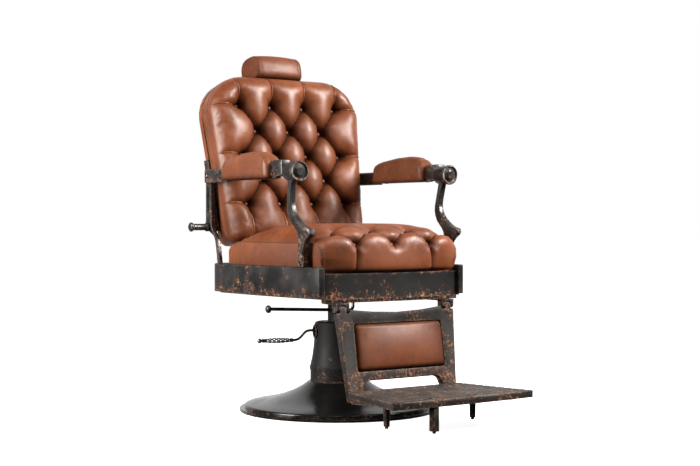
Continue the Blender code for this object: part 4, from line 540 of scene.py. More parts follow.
def on_the_pleats(x, y, pleats, reach):
    """Moves grid points that lie close to a pleat almost onto it: its line stays crisp, and no two points meet."""
    best = np.full(x.shape, far_away)
    new_x, new_y = x.copy(), y.copy()
    for a, b, *_ in pleats:
        d, _, near_x, near_y = to_segment(x, y, a, b)
        take = (d < best) & (d < reach)
        best = np.where(take, d, best)
        new_x = np.where(take, x + slide_share * (near_x - x), new_x)
        new_y = np.where(take, y + slide_share * (near_y - y), new_y)
    return new_x, new_y


def gap_to_pleats(x, y, pleats):
    gap = np.full(x.shape, far_away)
    for a, b, *_ in pleats:
        gap = np.minimum(gap, to_segment(x, y, a, b)[0])
    return gap


print("half way up a quarter round of 1:", round(float(quarter_round(0.5)), 3))

# %% [markdown]
# ## Drawing the leather in
# Several pleats meet at each button, and their dips must flow into one dimple. Taking only the deepest dip would
# leave ridges, and adding them up would dig too far. A sum of high powers, with the root taken at the end, lies
# between the two. The same step works out the painted shade: dark in the crease itself and round each button, and
# browner the deeper the leather lies.

# %% Draw the leather in
# painted shade: a dark line in each crease, a dark pit round each button, and browner hollows
crease_half, crease_shade, crease_full = 0.0028, 0.95, 0.007
hollow_shade_from, hollow_shade_over, hollow_shade_bend = 0.006, 0.026, 1.1
run_out, sag, plump = 2.2, 2.4, 0.66


def drawn_in(x, y, pleats, buttons, pit, hollow_shade, power=3.5):
    """Depth of the buttoned surface and the painted shade of each point in creases, pits and hollows, from 0 to 1."""
    total = np.zeros(x.shape)
    shade = np.zeros(x.shape)
    for a, b, depth_a, depth_b, middle, width in pleats:
        d, t, _, _ = to_segment(x, y, a, b)
        if middle is None:
            dip = depth_b + (depth_a - depth_b) * (1 - t) ** run_out
        else:
            dip = middle + (depth_a * (1 - t) + depth_b * t - middle) * np.abs(2 * t - 1) ** sag
        total += (dip * (1.0 - quarter_round(d / width, plump))) ** power
        crease = crease_shade * np.exp(-(d / crease_half) ** 2) * np.clip(dip / crease_full, 0.0, 1.0)
        shade = np.maximum(shade, crease)
    total = total ** (1.0 / power)
    # painted shade in a pit round each button
    for bx, by in buttons:
        shade = np.maximum(shade, crease_shade * np.exp(-(np.hypot(x - bx, y - by) / pit) ** 2))
    return total, np.maximum(shade, hollow_shade * np.clip((total - hollow_shade_from) / hollow_shade_over, 0.0, 1.0) ** hollow_shade_bend)


print("creases are", crease_half * 2000, "mm wide")

# %% [markdown]
# ## From a grid to a cushion
# A cushion could start as a finely divided box, but the faces of a box do not line up with pleats. A grid of points
# can, and its skin is worked out with arrays. The grid is an open sheet. To close it, its border is carried round to
# the rear in a few rings and capped there, out of sight. Points that come closer together towards the border let a
# rolled edge stay round.

# %% Turn a grid into a cushion
def finer_at_ends(count):
    """Steps from -1 to 1 that come closer together towards both ends."""
    even = np.linspace(-1.0, 1.0, count)
    return 0.5 * even + 0.5 * np.sin(math.pi / 2 * even)


def grid_piece(name, points, wax_and_shade, close):
    """A closed mesh from a grid of points, its border carried round to the rear by close(border points)."""
    rows, columns, _ = points.shape
    mesh = bmesh.new()
    layer = mesh.verts.layers.float.new("wax_and_shade")
    verts = [[mesh.verts.new(points[j, i]) for i in range(columns)] for j in range(rows)]
    for j in range(rows):
        for i in range(columns):
            verts[j][i][layer] = float(wax_and_shade[j, i])
    for j in range(rows - 1):
        for i in range(columns - 1):
            mesh.faces.new((verts[j][i], verts[j][i + 1], verts[j + 1][i + 1], verts[j + 1][i]))
    border = verts[0][:] + [row[-1] for row in verts[1:]] + verts[-1][-2::-1] + [row[0] for row in verts[-2:0:-1]]
    # each ring carried round to the rear gets the painted shade that close() gives with it
    for ring, ring_shade in close(np.array([v.co[:] for v in border])):
        following = [mesh.verts.new(p) for p in ring]
        for vert in following:
            vert[layer] = ring_shade
        for i in range(len(border)):
            k = (i + 1) % len(border)
            mesh.faces.new((border[k], border[i], following[i], following[k]))
        border = following
    bmesh.ops.triangulate(mesh, faces=[mesh.faces.new(list(border))])
    bmesh.ops.recalc_face_normals(mesh, faces=mesh.faces)
    for face in mesh.faces:
        face.smooth = True
    data = bpy.data.meshes.new(name)
    mesh.to_mesh(data)
    mesh.free()
    made = bpy.data.objects.new(name, data)
    bpy.context.scene.collection.objects.link(made)
    return made


print("steps of seven points:", np.round(finer_at_ends(7), 3))

# %% [markdown]
# ## The buttoned back
# The back is a slightly tapering board with big round shoulders, and it leans eleven degrees. It could be built in
# the chair's directions, but every formula would then carry that lean. So it is worked out in its own frame: across,
# out from the board, and up. One function turns that into places in the chair.

# %% Lay out the back
pivot = Vector((0.0, 0.297, 0.5615))
rake = math.radians(11.13)
back_foot, back_top = -0.0615, 0.477
half_foot, half_top, taper_end = 0.250, 0.281, 0.360
shoulder, foot_corner = 0.130, 0.030
seam_depth, face_depth, board_front = -0.0466, -0.110, -0.0100


def in_the_chair(across, out, up):
    """From the leaning back's own frame to the chair's."""
    return np.stack([across, pivot.y + out * math.cos(rake) + up * math.sin(rake),
                     pivot.z - out * math.sin(rake) + up * math.cos(rake)], axis=-1)


def half_width(up):
    return half_foot + (half_top - half_foot) * (np.minimum(up, taper_end) - back_foot) / (taper_end - back_foot)


def outline_ends(share):
    far = np.abs(share)

    def corner(radius):
        inner = 1 - radius / half_top
        t = np.maximum(0.0, far - inner) / (1 - inner)
        return radius * (1 - np.sqrt(np.maximum(0.0, 1 - t * t)))

    return back_foot + corner(foot_corner), back_top - corner(shoulder)


print("back from", back_foot, "to", back_top, "m, half width", half_foot, "to", half_top)

# %% [markdown]
# ## Buttons and pleats of the back
# Eighteen buttons sit in five staggered rows, and pleats between neighbours make the diamonds. Plain pleats run from
# the end rows up and down, and from the outer buttons to the sides. Listing every pleat by hand would be long, so
# neighbours are found by their distance.

# %% Lay out the buttons and pleats of the back
tuft_across, tuft_up, first_row = 0.0615, 0.0793, 0.0605
back_buttons = []
for row in range(5):
    count = 4 if row % 2 == 0 else 3
    back_buttons += [((2 * k - count + 1) * tuft_across, first_row + row * tuft_up) for k in range(count)]

deep, middle_deep, tuft_width = 0.042, 0.025, 0.070
edge_deep, side_deep, edge_width = 0.006, 0.005, 0.050
fan_out, side_end, side_rise = 1.02, 0.29, 0.002
nearly = 0.001
back_pleats = []
for i, a in enumerate(back_buttons):
    for b in back_buttons[i + 1:]:
        if abs(b[1] - a[1] - tuft_up) < nearly and abs(abs(b[0] - a[0]) - tuft_across) < nearly:
            back_pleats.append((a, b, deep, deep, middle_deep, tuft_width))
for x, up in back_buttons:
    if abs(up - first_row) < nearly:
        back_pleats.append(((x, up), (x, back_foot), deep, edge_deep, None, edge_width))
    if abs(up - first_row - 4 * tuft_up) < nearly:
        back_pleats.append(((x, up), (x * fan_out, back_top), deep, edge_deep, None, edge_width))
    if abs(x) > 2.5 * tuft_across:
        side = (math.copysign(side_end, x), up + side_rise)
        back_pleats.append(((x, up), side, deep, side_deep, None, edge_width))
print(len(back_buttons), "buttons and", len(back_pleats), "pleats on the back")

# %% [markdown]
# ## The outline of the back
# The roll at the edge depends on how far a point lies inside the outline. A formula for that distance would be
# long, because of the round shoulders. It is simpler to walk once round the outline in short straight steps and
# take the nearest one.

# %% Trace the outline of the back
def back_outline(count=64):
    """The outline of the board, once round, as points across and up."""
    share = np.sin(np.linspace(-math.pi / 2, math.pi / 2, count))
    low, high = outline_ends(share)
    lower = np.stack([share * half_width(low), low], axis=-1)
    upper = np.stack([share * half_width(high), high], axis=-1)
    return np.concatenate([lower, upper[::-1]])


def to_outline(x, y, ring):
    best = np.full(x.shape, far_away)
    for a, b in zip(ring, np.roll(ring, -1, axis=0)):
        if np.hypot(*(b - a)) > 1e-6:
            best = np.minimum(best, to_segment(x, y, a, b)[0])
    return best


print("outline of the back in", len(back_outline()), "steps")

# %% [markdown]
# ## The skin of the back
# Now the parts come together. The skin rises out of the seam in a quarter round, the pleats and buttons draw it
# in, and the sides and the top swell a few millimetres past the board. A grid laid finer near its border gives that
# roll enough points, and grid points near a pleat are slid towards it, so that each pleat is one clean line. The lower
# part of the back gets painted shade, darker towards the bottom, and so does the roll where it goes down to the board.
# That could be a texture, but a number per point needs no picture.

# %% Shape the back cushion
edge_margin, slide_reach, roll_width = 0.012, 0.0022, 0.050
swell_out, swell_band = 0.0045, 0.03
low_shade_most, low_shade_height, seam_shade = 0.40, 0.32, 0.45
columns, rows = 160, 160
share, rise = np.meshgrid(finer_at_ends(columns), (finer_at_ends(rows) + 1) / 2)
low, high = outline_ends(share)
up = low + (high - low) * rise
across = share * half_width(up)
inside = to_outline(across, up, back_outline())
free = inside > edge_margin
slid_x, slid_up = on_the_pleats(across, up, back_pleats, slide_reach)
across, up = np.where(free, slid_x, across), np.where(free, slid_up, up)
roll = quarter_round(inside / roll_width)
# the painted shade in creases, pits and hollows comes with the depth
depth, back_wax_and_shade = drawn_in(across, up, back_pleats, back_buttons, pit=0.0105, hollow_shade=0.97)
out = seam_depth + (face_depth - seam_depth) * roll + depth * roll
bulge = swell_out * 4 * roll * (1 - roll)
side_push = np.clip(1 - (half_width(up) - np.abs(across)) / swell_band, 0, 1)
across = across + np.sign(across) * bulge * side_push
top_push, foot_push = (np.clip(1 - gap / swell_band, 0, 1) for gap in (high - up, up - low))
up = up + bulge * top_push - 0.5 * bulge * foot_push
# painted shade: darker towards the foot of the back
low_shade = low_shade_most * np.clip(1 - (up - back_foot) / low_shade_height, 0.0, 1.0)
back_wax_and_shade = 1 - (1 - back_wax_and_shade * roll) * (1 - low_shade)


def down_to_the_board(border):
    local_out = (border[:, 1] - pivot.y) * math.cos(rake) - (border[:, 2] - pivot.z) * math.sin(rake)
    local_up = (border[:, 1] - pivot.y) * math.sin(rake) + (border[:, 2] - pivot.z) * math.cos(rake)
    rings = []
    for t in (0.25, 0.5, 0.75, 1.0):
        level = local_out + (board_front - local_out) * t
        # painted shade, darker as the roll goes down to the board
        rings.append((in_the_chair(border[:, 0], level, local_up), seam_shade * t ** 2))
    return rings


back_cover = grid_piece("back_cover", in_the_chair(across, out, up), back_wax_and_shade, down_to_the_board)
back_cover.data.materials.append(cognac)
print("back cover:", len(back_cover.data.vertices), "points")

# %% [markdown]
# ## Stuffing by simulation
# Leather over horsehair is tight at the buttons and slack nowhere, but it does puff and pucker by itself. That
# could be sculpted by hand. The cloth solver does it evenly: the cover is cut a few percent too large, held at
# buttons, pleats and seams, and blown up gently from inside for some frames. Only the new places of its points are
# kept, and no simulation is left on the piece.

# %% A helper that blows up a cover
def points_of(mesh):
    flat = np.empty(len(mesh.vertices) * 3)
    mesh.vertices.foreach_get("co", flat)
    return flat.reshape(-1, 3)


def blow_up(cover, held, pressure, spare, frames=12, quality=4):
    """Where the points of a cover end up when it is filled; held says how firmly each one is pinned."""
    grip = cover.vertex_groups.new(name="held")
    for value in sorted(set(np.round(held, 2))):
        if value > 0:
            grip.add([int(i) for i in np.nonzero(np.round(held, 2) == value)[0]], float(value), "REPLACE")
    cloth = cover.modifiers.new("stuffing", "CLOTH")
    how = cloth.settings
    how.quality = quality
    how.mass = 0.010
    how.tension_stiffness = how.compression_stiffness = 6
    how.shear_stiffness = 3
    how.bending_stiffness = 4.0
    how.vertex_group_mass = "held"
    how.pin_stiffness = 4.0
    how.use_pressure = True
    how.uniform_pressure_force = pressure
    how.shrink_min = -spare
    how.effector_weights.gravity = 0.0
    cloth.collision_settings.use_collision = False
    cloth.point_cache.frame_start = 1
    cloth.point_cache.frame_end = frames
    for number in range(1, frames + 1):
        bpy.context.scene.frame_set(number)
    puffed = cover.evaluated_get(bpy.context.evaluated_depsgraph_get())
    moved = points_of(puffed.data)
    cover.modifiers.remove(cloth)
    cover.vertex_groups.remove(grip)
    bpy.context.scene.frame_set(1)
    return moved


print("cloth helpers ready:", points_of.__name__, "and", blow_up.__name__)

# %% [markdown]
# ## Taking over what the cloth did
# The solver's answer is used with care. A travel longer than the cap is shortened, points that are held move less, and
# the panel is then eased by moving each free point towards the middle of its neighbours.

# %% A helper that stuffs a cover
ease_share, ease_rounds = 0.5, 5


def stuff(cover, held, shape, pressure, cap, spare):
    rest = points_of(cover.data)
    travel = blow_up(cover, held, pressure, spare) - rest
    length = np.linalg.norm(travel, axis=1)
    limit = np.where(length > cap, cap / np.maximum(length, 1e-9), 1.0)[:, None]
    settled = rest + travel * limit * (1 - held)[:, None] ** 0.5
    on_panel = shape[0] * shape[1]
    panel = settled[:on_panel].reshape(*shape, 3)
    slack = ease_share * (1 - held[:on_panel]).reshape(*shape, 1)
    for _ in range(ease_rounds):
        around = (panel[:-2, 1:-1] + panel[2:, 1:-1] + panel[1:-1, :-2] + panel[1:-1, 2:]) / 4
        panel[1:-1, 1:-1] += (around - panel[1:-1, 1:-1]) * slack[1:-1, 1:-1]
    cover.data.vertices.foreach_set("co", settled.ravel())
    cover.data.update()
    print(cover.name, "moved", round(float(length.mean()) * 1000, 2), "mm on average,",
          round(float(length.max()) * 1000, 2), "mm at most before the cap of", cap * 1000)


def smoother(cover, levels=1):
    fine = cover.modifiers.new("fine_skin", "SUBSURF")
    fine.levels = levels
    fine.render_levels = levels


print("stuffing helpers ready:", stuff.__name__, "and", smoother.__name__)

# %% [markdown]
# ## Stuffing the back
# The back's leather is held fast along every pleat and along the outer seam, and less and less over the next few
# millimetres. Holding only the pleats themselves would crease the leather hard beside them. After the stuffing the
# cover replaces the plain solid of the cushion and rides on the body that reclines.

# %% Stuff the back
pleat_hold, edge_hold = 0.007, 0.012
pleat_gap = gap_to_pleats(across, up, back_pleats)
held = np.ones(len(back_cover.data.vertices))
held[:rows * columns] = np.clip(np.maximum(1 - pleat_gap / pleat_hold, 1 - inside / edge_hold), 0, 1).ravel()
stuff(back_cover, held, (rows, columns), pressure=40.0, cap=0.010, spare=0.03)
smoother(back_cover)
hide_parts("back_cushion")
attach(back_cover, "back")
print("back held at", int((held > 0).sum()), "of", len(held), "points")

# %% [markdown]
# ## A covered button
# Each button is a small leather-covered dome sunk at the foot of its dimple. A squashed ball would do from afar,
# but a turned profile has the flat top and tucked-in rim of a real one. All buttons of a cushion share that
# profile and are joined into one piece.

# %% A helper for buttons
button_profile = [(1.0, -0.35), (1.06, 0.0), (0.95, 0.42), (0.72, 0.74), (0.38, 0.95), (0.12, 1.0)]


def dome_button(mesh, centre, normal, radius, height):
    turn = Vector(normal).to_track_quat("Z", "Y").to_matrix().to_4x4()
    place = Matrix.Translation(centre) @ turn
    sides = 14
    loops = []
    for r, h in button_profile:
        loops.append([mesh.verts.new(place @ Vector((radius * r * math.cos(2 * math.pi * k / sides),
                                                     radius * r * math.sin(2 * math.pi * k / sides), height * h)))
                      for k in range(sides)])
    for one, two in zip(loops, loops[1:]):
        for k in range(sides):
            mesh.faces.new((one[k], one[(k + 1) % sides], two[(k + 1) % sides], two[k]))
    mesh.faces.new(loops[-1])
    mesh.faces.new(list(reversed(loops[0])))


def finish_mesh(name, mesh, finish):
    bmesh.ops.recalc_face_normals(mesh, faces=mesh.faces)
    for face in mesh.faces:
        face.smooth = True
    data = bpy.data.meshes.new(name)
    mesh.to_mesh(data)
    mesh.free()
    data.materials.append(finish)
    made = bpy.data.objects.new(name, data)
    bpy.context.scene.collection.objects.link(made)
    return made


print("button profile:", len(button_profile), "rings")

# %% [markdown]
# ## A sewn cord
# A welt is a leather-covered cord sewn into a seam. It could be a row of rings joined by faces. A curve with a round
# bevel draws the same in one go, and turning the curve into a mesh keeps the piece plain. To lay a button or a cord on
# the leather, a ray is sent at the cover from outside, and the tree of faces made here answers where it lands.

# %% Helpers for cords
def surface_of(cover):
    return BVHTree.FromObject(cover, bpy.context.evaluated_depsgraph_get())


def welt(name, points, radius, finish, closed=False):
    """A sewn cord: a tube along points, or along each of several lists of points, kept as a mesh."""
    line = bpy.data.curves.new(name, "CURVE")
    line.dimensions = "3D"
    line.bevel_depth = radius
    line.bevel_resolution = 3
    line.use_fill_caps = True
    for run in points if isinstance(points[0], list) else [points]:
        spline = line.splines.new("POLY")
        spline.points.add(len(run) - 1)
        for point, place in zip(spline.points, run):
            point.co = (*place, 1.0)
        spline.use_cyclic_u = closed
        spline.use_smooth = True
    holder = bpy.data.objects.new(name + "_line", line)
    bpy.context.scene.collection.objects.link(holder)
    data = bpy.data.meshes.new_from_object(holder.evaluated_get(bpy.context.evaluated_depsgraph_get()))
    bpy.data.objects.remove(holder)
    for face in data.polygons:
        face.use_smooth = True
    data.materials.clear()
    data.materials.append(finish)
    made = bpy.data.objects.new(name, data)
    bpy.context.scene.collection.objects.link(made)
    return made


print("cord helpers ready:", surface_of.__name__, "and", welt.__name__)

# %% [markdown]
# ## Buttons and welt of the back
# Eighteen buttons go to the foot of their dimples, facing straight out of the board. Tilting each to the leather
# round it would look restless, and on the real chair the twine pulls them square. The welt follows the outline.

# %% Button and welt the back
outside = -0.2
button_lift, button_radius, button_height = 0.0045, 0.0064, 0.0048
skin = surface_of(back_cover)
lean_out = Vector(in_the_chair(0.0, -1.0, 0.0)) - pivot
buttons = bmesh.new()
for x, up_to in back_buttons:
    hit = skin.ray_cast(Vector(in_the_chair(x, outside, up_to)), -lean_out)[0]
    dome_button(buttons, hit + lean_out * button_lift, lean_out, button_radius, button_height)
back_domes = finish_mesh("back_buttons", buttons, dark_cognac)
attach(back_domes, "back")

welt_radius = 0.0019
ring = back_outline(90)
ring_points = in_the_chair(ring[:, 0], np.full(len(ring), seam_depth), ring[:, 1])
back_welt = welt("back_welt", [tuple(p) for p in ring_points], welt_radius, dark_cognac, closed=True)
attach(back_welt, "back")
print("buttons and welt on the back:", len(back_domes.data.vertices), len(back_welt.data.vertices), "points")

# %% [markdown]
# ## The tucks at the edge of the back
# Where a pleat runs out over the rolled edge, the spare leather is folded under itself, and the fold shows as a
# slim raised band between two lines. The skin would need a far finer grid to carry a band that thin, so each
# tuck is a slim cord of the same leather, laid half into its pleat. It starts sunk in the dimple and ends just
# short of the welt.

# %% Tuck the edges of the back
tuck_radius, tuck_rise, tuck_margin = 0.0027, 0.0006, 0.006
tuck_start, tuck_sink, tuck_fade = 0.20, 2.2, 0.07
tucks = []
for a, b, _, _, middle, _ in back_pleats:
    if middle is not None:
        continue
    run = []
    for t in np.linspace(tuck_start, 1.0, 40):
        across_here, up_here = a[0] + (b[0] - a[0]) * t, a[1] + (b[1] - a[1]) * t
        half_here = float(half_width(np.array(up_here)))
        low_here, high_here = outline_ends(np.array(across_here / half_here))
        within_sides = abs(across_here) <= half_here - tuck_margin
        if not within_sides or not low_here + tuck_margin < up_here < high_here - tuck_margin:
            break
        hit = skin.ray_cast(Vector(in_the_chair(across_here, outside, up_here)), -lean_out)[0]
        sunk = tuck_sink * tuck_radius * math.exp(-(t - tuck_start) / tuck_fade)
        run.append(tuple(hit + lean_out * (tuck_rise - sunk)))
    tucks.append(run)
back_tucks = welt("back_tucks", tucks, tuck_radius, cognac)
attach(back_tucks, "back")
print("tucks:", len(tucks), "with", sum(len(run) for run in tucks), "points")

# %% [markdown]
# ## Beaded rims on the hub caps
# Each cap at the front of an arm has a fine beaded rim, rubbed bright by hands. A ring of separate beads would be
# slow to make and to light; a single ring whose thickness swells forty times round looks the same at this size.

# %% Bead the hub caps
bead_neck, bead_swell = 0.78, 0.30


def beaded_ring(name, centre, radius, thickness, beads, finish):
    mesh = bmesh.new()
    turns, sides = beads * 6, 8
    loops = []
    for i in range(turns):
        angle = 2 * math.pi * i / turns
        swell = thickness * (bead_neck + bead_swell * math.cos(beads * angle))
        loops.append([])
        for k in range(sides):
            round_it = 2 * math.pi * k / sides
            reach = radius + swell * math.cos(round_it)
            point = (centre.x + reach * math.cos(angle), centre.y - swell * math.sin(round_it),
                     centre.z + reach * math.sin(angle))
            loops[-1].append(mesh.verts.new(point))
    for i in range(turns):
        one, two = loops[i], loops[(i + 1) % turns]
        for k in range(sides):
            mesh.faces.new((one[k], one[(k + 1) % sides], two[(k + 1) % sides], two[k]))
    return finish_mesh(name, mesh, finish)


rim_step, rim_land, bead_thick, bead_count = 0.0035, 0.0036, 0.0016, 40
for label in ("right", "left"):
    low, high = (Vector(corner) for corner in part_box(label + "_hub_cap"))
    centre = Vector(((low.x + high.x) / 2, low.y + rim_step, (low.z + high.z) / 2))
    bead_radius = (high.x - low.x) / 2 - rim_land
    beads = beaded_ring(label + "_hub_beads", centre, bead_radius, bead_thick, bead_count, steel)
    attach(beads, "seat")
    print(beads.name, "round", [round(c, 3) for c in centre])

# %% [markdown]
# ## The seat
# The seat is a boxed cushion: a top panel that domes up to a crown, and a front that rolls over the apron. It
# could be a flat buttoned sheet bent over a block, but then the pleats would stretch round the bend. Here the skin
# is a grid between two side profiles, one through the middle of the chair and one along its side, so that the
# distance to a pleat can be measured along the skin itself. First come the sizes and a smooth curve through points.

# %% Lay out the seat
ring_front, ring_half_front, ring_half_side, ring_wall = -0.285, 0.264, 0.290, 0.020
apron_bow, apron_end, apron_thick, apron_top = 0.0165, -0.2734, 0.012, 0.430
seat_edge, seat_crown, seat_rear, seat_floor = 0.517, 0.566, 0.219, 0.4101
seat_pitch, seat_row_gap = 0.0665, 0.066


def smooth_run(points, count):
    ends = [points[0]] + list(points) + [points[-1]]
    run = []
    for i in range(1, len(ends) - 2):
        p0, p1, p2, p3 = (np.array(p) for p in ends[i - 1:i + 3])
        for t in np.arange(count) / count:
            run.append(0.5 * (2 * p1 + (p2 - p0) * t + (2 * p0 - 5 * p1 + 4 * p2 - p3) * t ** 2
                              + (3 * p1 - p0 - 3 * p2 + p3) * t ** 3))
    run.append(np.array(points[-1]))
    return np.array(run)


print("seat laid out, crown", seat_crown, "edge", seat_edge)

# %% [markdown]
# ## Two profiles of the seat
# Both profiles start at the hem behind the apron, bulge forward over it, roll over the front edge and run back to
# the rear. The middle one climbs to the crown, and the side one stays level. One profile that shrinks towards the
# sides would leave the front corners thin. Two of them with the same number of points let a skin be spun between them.

# %% Draw the profiles of the seat
apron_clear, side_curve = 0.0003, 0.385


def apron_front(x):
    half = ring_half_front - ring_wall - apron_clear
    return apron_end - apron_bow * (1 - (x / half) ** 2)


def seat_half(y, inset):
    t = np.clip((y - ring_front) / side_curve, 0.0, 1.0)
    return ring_half_front + (ring_half_side - ring_half_front) * np.sin(math.pi / 2 * t) - inset


front_middle = apron_front(0.0) + apron_thick
front_end = apron_front(ring_half_front - ring_wall - apron_clear) + apron_thick
hem = apron_top + 0.0035
middle_line = smooth_run([
    (front_middle + 0.0025, hem), (front_middle - 0.0205, hem + 0.007), (front_middle - 0.024, hem + 0.046),
    (front_middle - 0.019, seat_crown - 0.042), (front_middle + 0.006, seat_crown - 0.014),
    (front_middle + 0.055, seat_crown - 0.004), (front_middle + 0.170, seat_crown - 0.001),
    (0.030, seat_crown - 0.004), (seat_rear - 0.090, seat_crown - 0.030),
    (seat_rear - 0.024, seat_edge - 0.010), (seat_rear, seat_edge - 0.024)], 40)
side_line = smooth_run([
    (front_end + 0.0025, hem), (front_end - 0.004, hem + 0.014), (front_end - 0.006, hem + 0.045),
    (front_end + 0.002, seat_edge - 0.016), (front_end + 0.020, seat_edge - 0.003), (front_end + 0.060, seat_edge),
    (-0.100, seat_edge), (0.030, seat_edge), (seat_rear - 0.080, seat_edge), (seat_rear - 0.026, seat_edge - 0.011),
    (seat_rear - 0.006, seat_edge - 0.028)], 40)
walked = np.concatenate([[0.0], np.cumsum(np.hypot(*np.diff(middle_line, axis=0).T))])
front_row = float(walked[np.argmax(middle_line[:, 1] > seat_edge + 0.006)])
seat_length = float(walked[-1])
print("seat skin", round(seat_length, 3), "m long, front buttons at", round(front_row, 3), "m")

# %% [markdown]
# ## Buttons and pleats of the seat
# Ten buttons sit in three staggered rows close behind the front edge, and pleats join them into diamonds. From
# the outer front buttons a pleat runs straight down to the hem, and the middle one has only a short one. They could be
# as wide as those on top, but then the front would break up into separate rolls. On the real seat it is drawn nearly
# flat, so the front pleats are narrow and run out to almost nothing.

# %% Lay out the buttons and pleats of the seat
seat_deep, seat_middle_deep, seat_tuft_width = 0.036, 0.014, 0.044
front_deep, front_run_out, front_width, short_pleat = 0.030, 0.0035, 0.020, 0.034
front_fan, hem_end = 2.12, 0.004
seat_buttons = [(k * 2 * seat_pitch, front_row) for k in (-1, 0, 1)]
seat_buttons += [((k + 0.5) * 2 * seat_pitch, front_row + seat_row_gap) for k in (-2, -1, 0, 1)]
seat_buttons += [(k * 2 * seat_pitch, front_row + 2 * seat_row_gap) for k in (-1, 0, 1)]
seat_pleats = []
for i, a in enumerate(seat_buttons):
    for b in seat_buttons[i + 1:]:
        if abs(b[1] - a[1] - seat_row_gap) < nearly and abs(abs(b[0] - a[0]) - seat_pitch) < nearly:
            seat_pleats.append((a, b, seat_deep, seat_deep, seat_middle_deep, seat_tuft_width))
for k in (-1, 1):
    outer, at_hem = (k * 2 * seat_pitch, front_row), (k * front_fan * seat_pitch, hem_end)
    seat_pleats.append((outer, at_hem, front_deep, front_run_out, None, front_width))
seat_pleats.append(((0.0, front_row), (0.0, front_row - short_pleat), front_deep, 0.0, None, front_width))
print(len(seat_buttons), "buttons and", len(seat_pleats), "pleats on the seat")

# %% [markdown]
# ## The skin of the seat
# A point of the skin lies somewhere between the two profiles: near the middle one over most of the width, and close
# to the side one only near the edge. Above the ring the front corners spread a little, as stuffed leather does.
# The pleats then draw the skin in. Drawing it straight down would be simpler, but would lose the pleats of the front.
# So they draw along the skin's own normal, which near the front edge points forward as much as up.

# %% Spin the skin of the seat
hem_blend, fit_gap, seat_feather, half_step = 0.08, 0.0035, 0.03, 0.002
spread_from, spread_over, spread = -0.222, 0.025, 0.009
ring_clear, clear_over = 0.4526, 0.020
columns, rows = 150, 150
share, along = np.meshgrid(finer_at_ends(columns), np.linspace(0.0, seat_length, rows))


def on_line(line, s):
    return np.interp(s, walked, line[:, 0]), np.interp(s, walked, line[:, 1])


def seat_point(share, s):
    middle_y, middle_z = on_line(middle_line, s)
    side_y, side_z = on_line(side_line, s)
    rise = np.clip((middle_z - hem) / hem_blend, 0.0, 1.0)
    keep = (1 - share ** 2) * (1 - rise) + (1 - np.abs(share) ** 6) * rise
    y = side_y + (middle_y - side_y) * keep
    z = side_z + (middle_z - side_z) * keep
    ahead = np.clip((spread_from - y) / spread_over, 0.0, 1.0)
    above = np.clip((z - ring_clear) / clear_over, 0.0, 1.0)
    half = seat_half(np.maximum(y, ring_front), ring_wall + fit_gap) + spread * ahead * above
    return share * half, y, z, half


x, y, z, half = seat_point(share, along)
slid_x, slid_along = on_the_pleats(x, along, seat_pleats, slide_reach)
share = np.clip(slid_x / half, -1, 1)
along = np.clip(slid_along, 0.0, seat_length)
x, y, z, half = seat_point(share, along)
ahead_y, ahead_z = on_line(middle_line, np.minimum(along + half_step, seat_length))
behind_y, behind_z = on_line(middle_line, np.maximum(along - half_step, 0.0))
normal_y, normal_z = -(ahead_z - behind_z), ahead_y - behind_y
size = np.maximum(np.hypot(normal_y, normal_z), 1e-9)
# the painted shade in the seat's creases, pits and hollows comes with the depth
depth, seat_wax_and_shade = drawn_in(x, along, seat_pleats, seat_buttons, pit=0.017, hollow_shade=0.34)
off_ends = np.minimum(along, seat_length - along)
inside = quarter_round(off_ends / seat_feather) * quarter_round((half - np.abs(x)) / seat_feather)
seat_skin = np.stack([x, y - normal_y / size * depth * inside, z - normal_z / size * depth * inside], axis=-1)
print("deepest dimple of the seat:", round(float(depth.max()) * 1000, 1), "mm")

# %% [markdown]
# ## Closing the seat
# Below the top panel the boxing goes down inside the iron ring to the seat board. A straight wall would touch the
# ring. So the boxing is drawn in by some millimetres towards its foot, and it swells a little half way down, like any
# boxed cushion. It gets painted shade, darker towards the ring.

# %% Build the seat cover
wall_inset, hem_back, apron_gap = 0.0095, 0.006, 0.004
boxing_swell, straight_side = 0.0018, 0.2
boxing_shade, boxing_shade_bend = 0.75, 1.5


def down_to_the_seat_board(border):
    rings = []
    foot = border.copy()
    limit = seat_half(border[:, 1], ring_wall + wall_inset)
    foot[:, 0] = np.clip(border[:, 0], -limit, limit)
    foot[:, 1] = np.maximum(border[:, 1] + hem_back, apron_front(foot[:, 0]) + apron_thick + apron_gap)
    foot[:, 2] = seat_floor
    along_side = np.abs(border[:, 1]) < straight_side
    for t in (0.12, 0.3, 0.55, 0.8, 1.0):
        level = border + (foot - border) * t
        swell = boxing_swell * math.sin(math.pi * t)
        level[:, 0] = np.where(along_side, level[:, 0] + np.sign(level[:, 0]) * swell, level[:, 0])
        # painted shade, darker towards the ring
        rings.append((level, boxing_shade * t ** boxing_shade_bend))
    return rings


seat_cover = grid_piece("seat_cover", seat_skin, seat_wax_and_shade * inside, down_to_the_seat_board)
seat_cover.data.materials.append(worn_cognac)
print("seat cover:", len(seat_cover.data.vertices), "points")

# %% [markdown]
# ## Stuffing the seat
# The seat is stuffed like the back, with one difference. A seat's front is pulled tight over its edge, so it is held
# much more firmly than the top. Without that the stuffing would blow the front out into deep scallops.

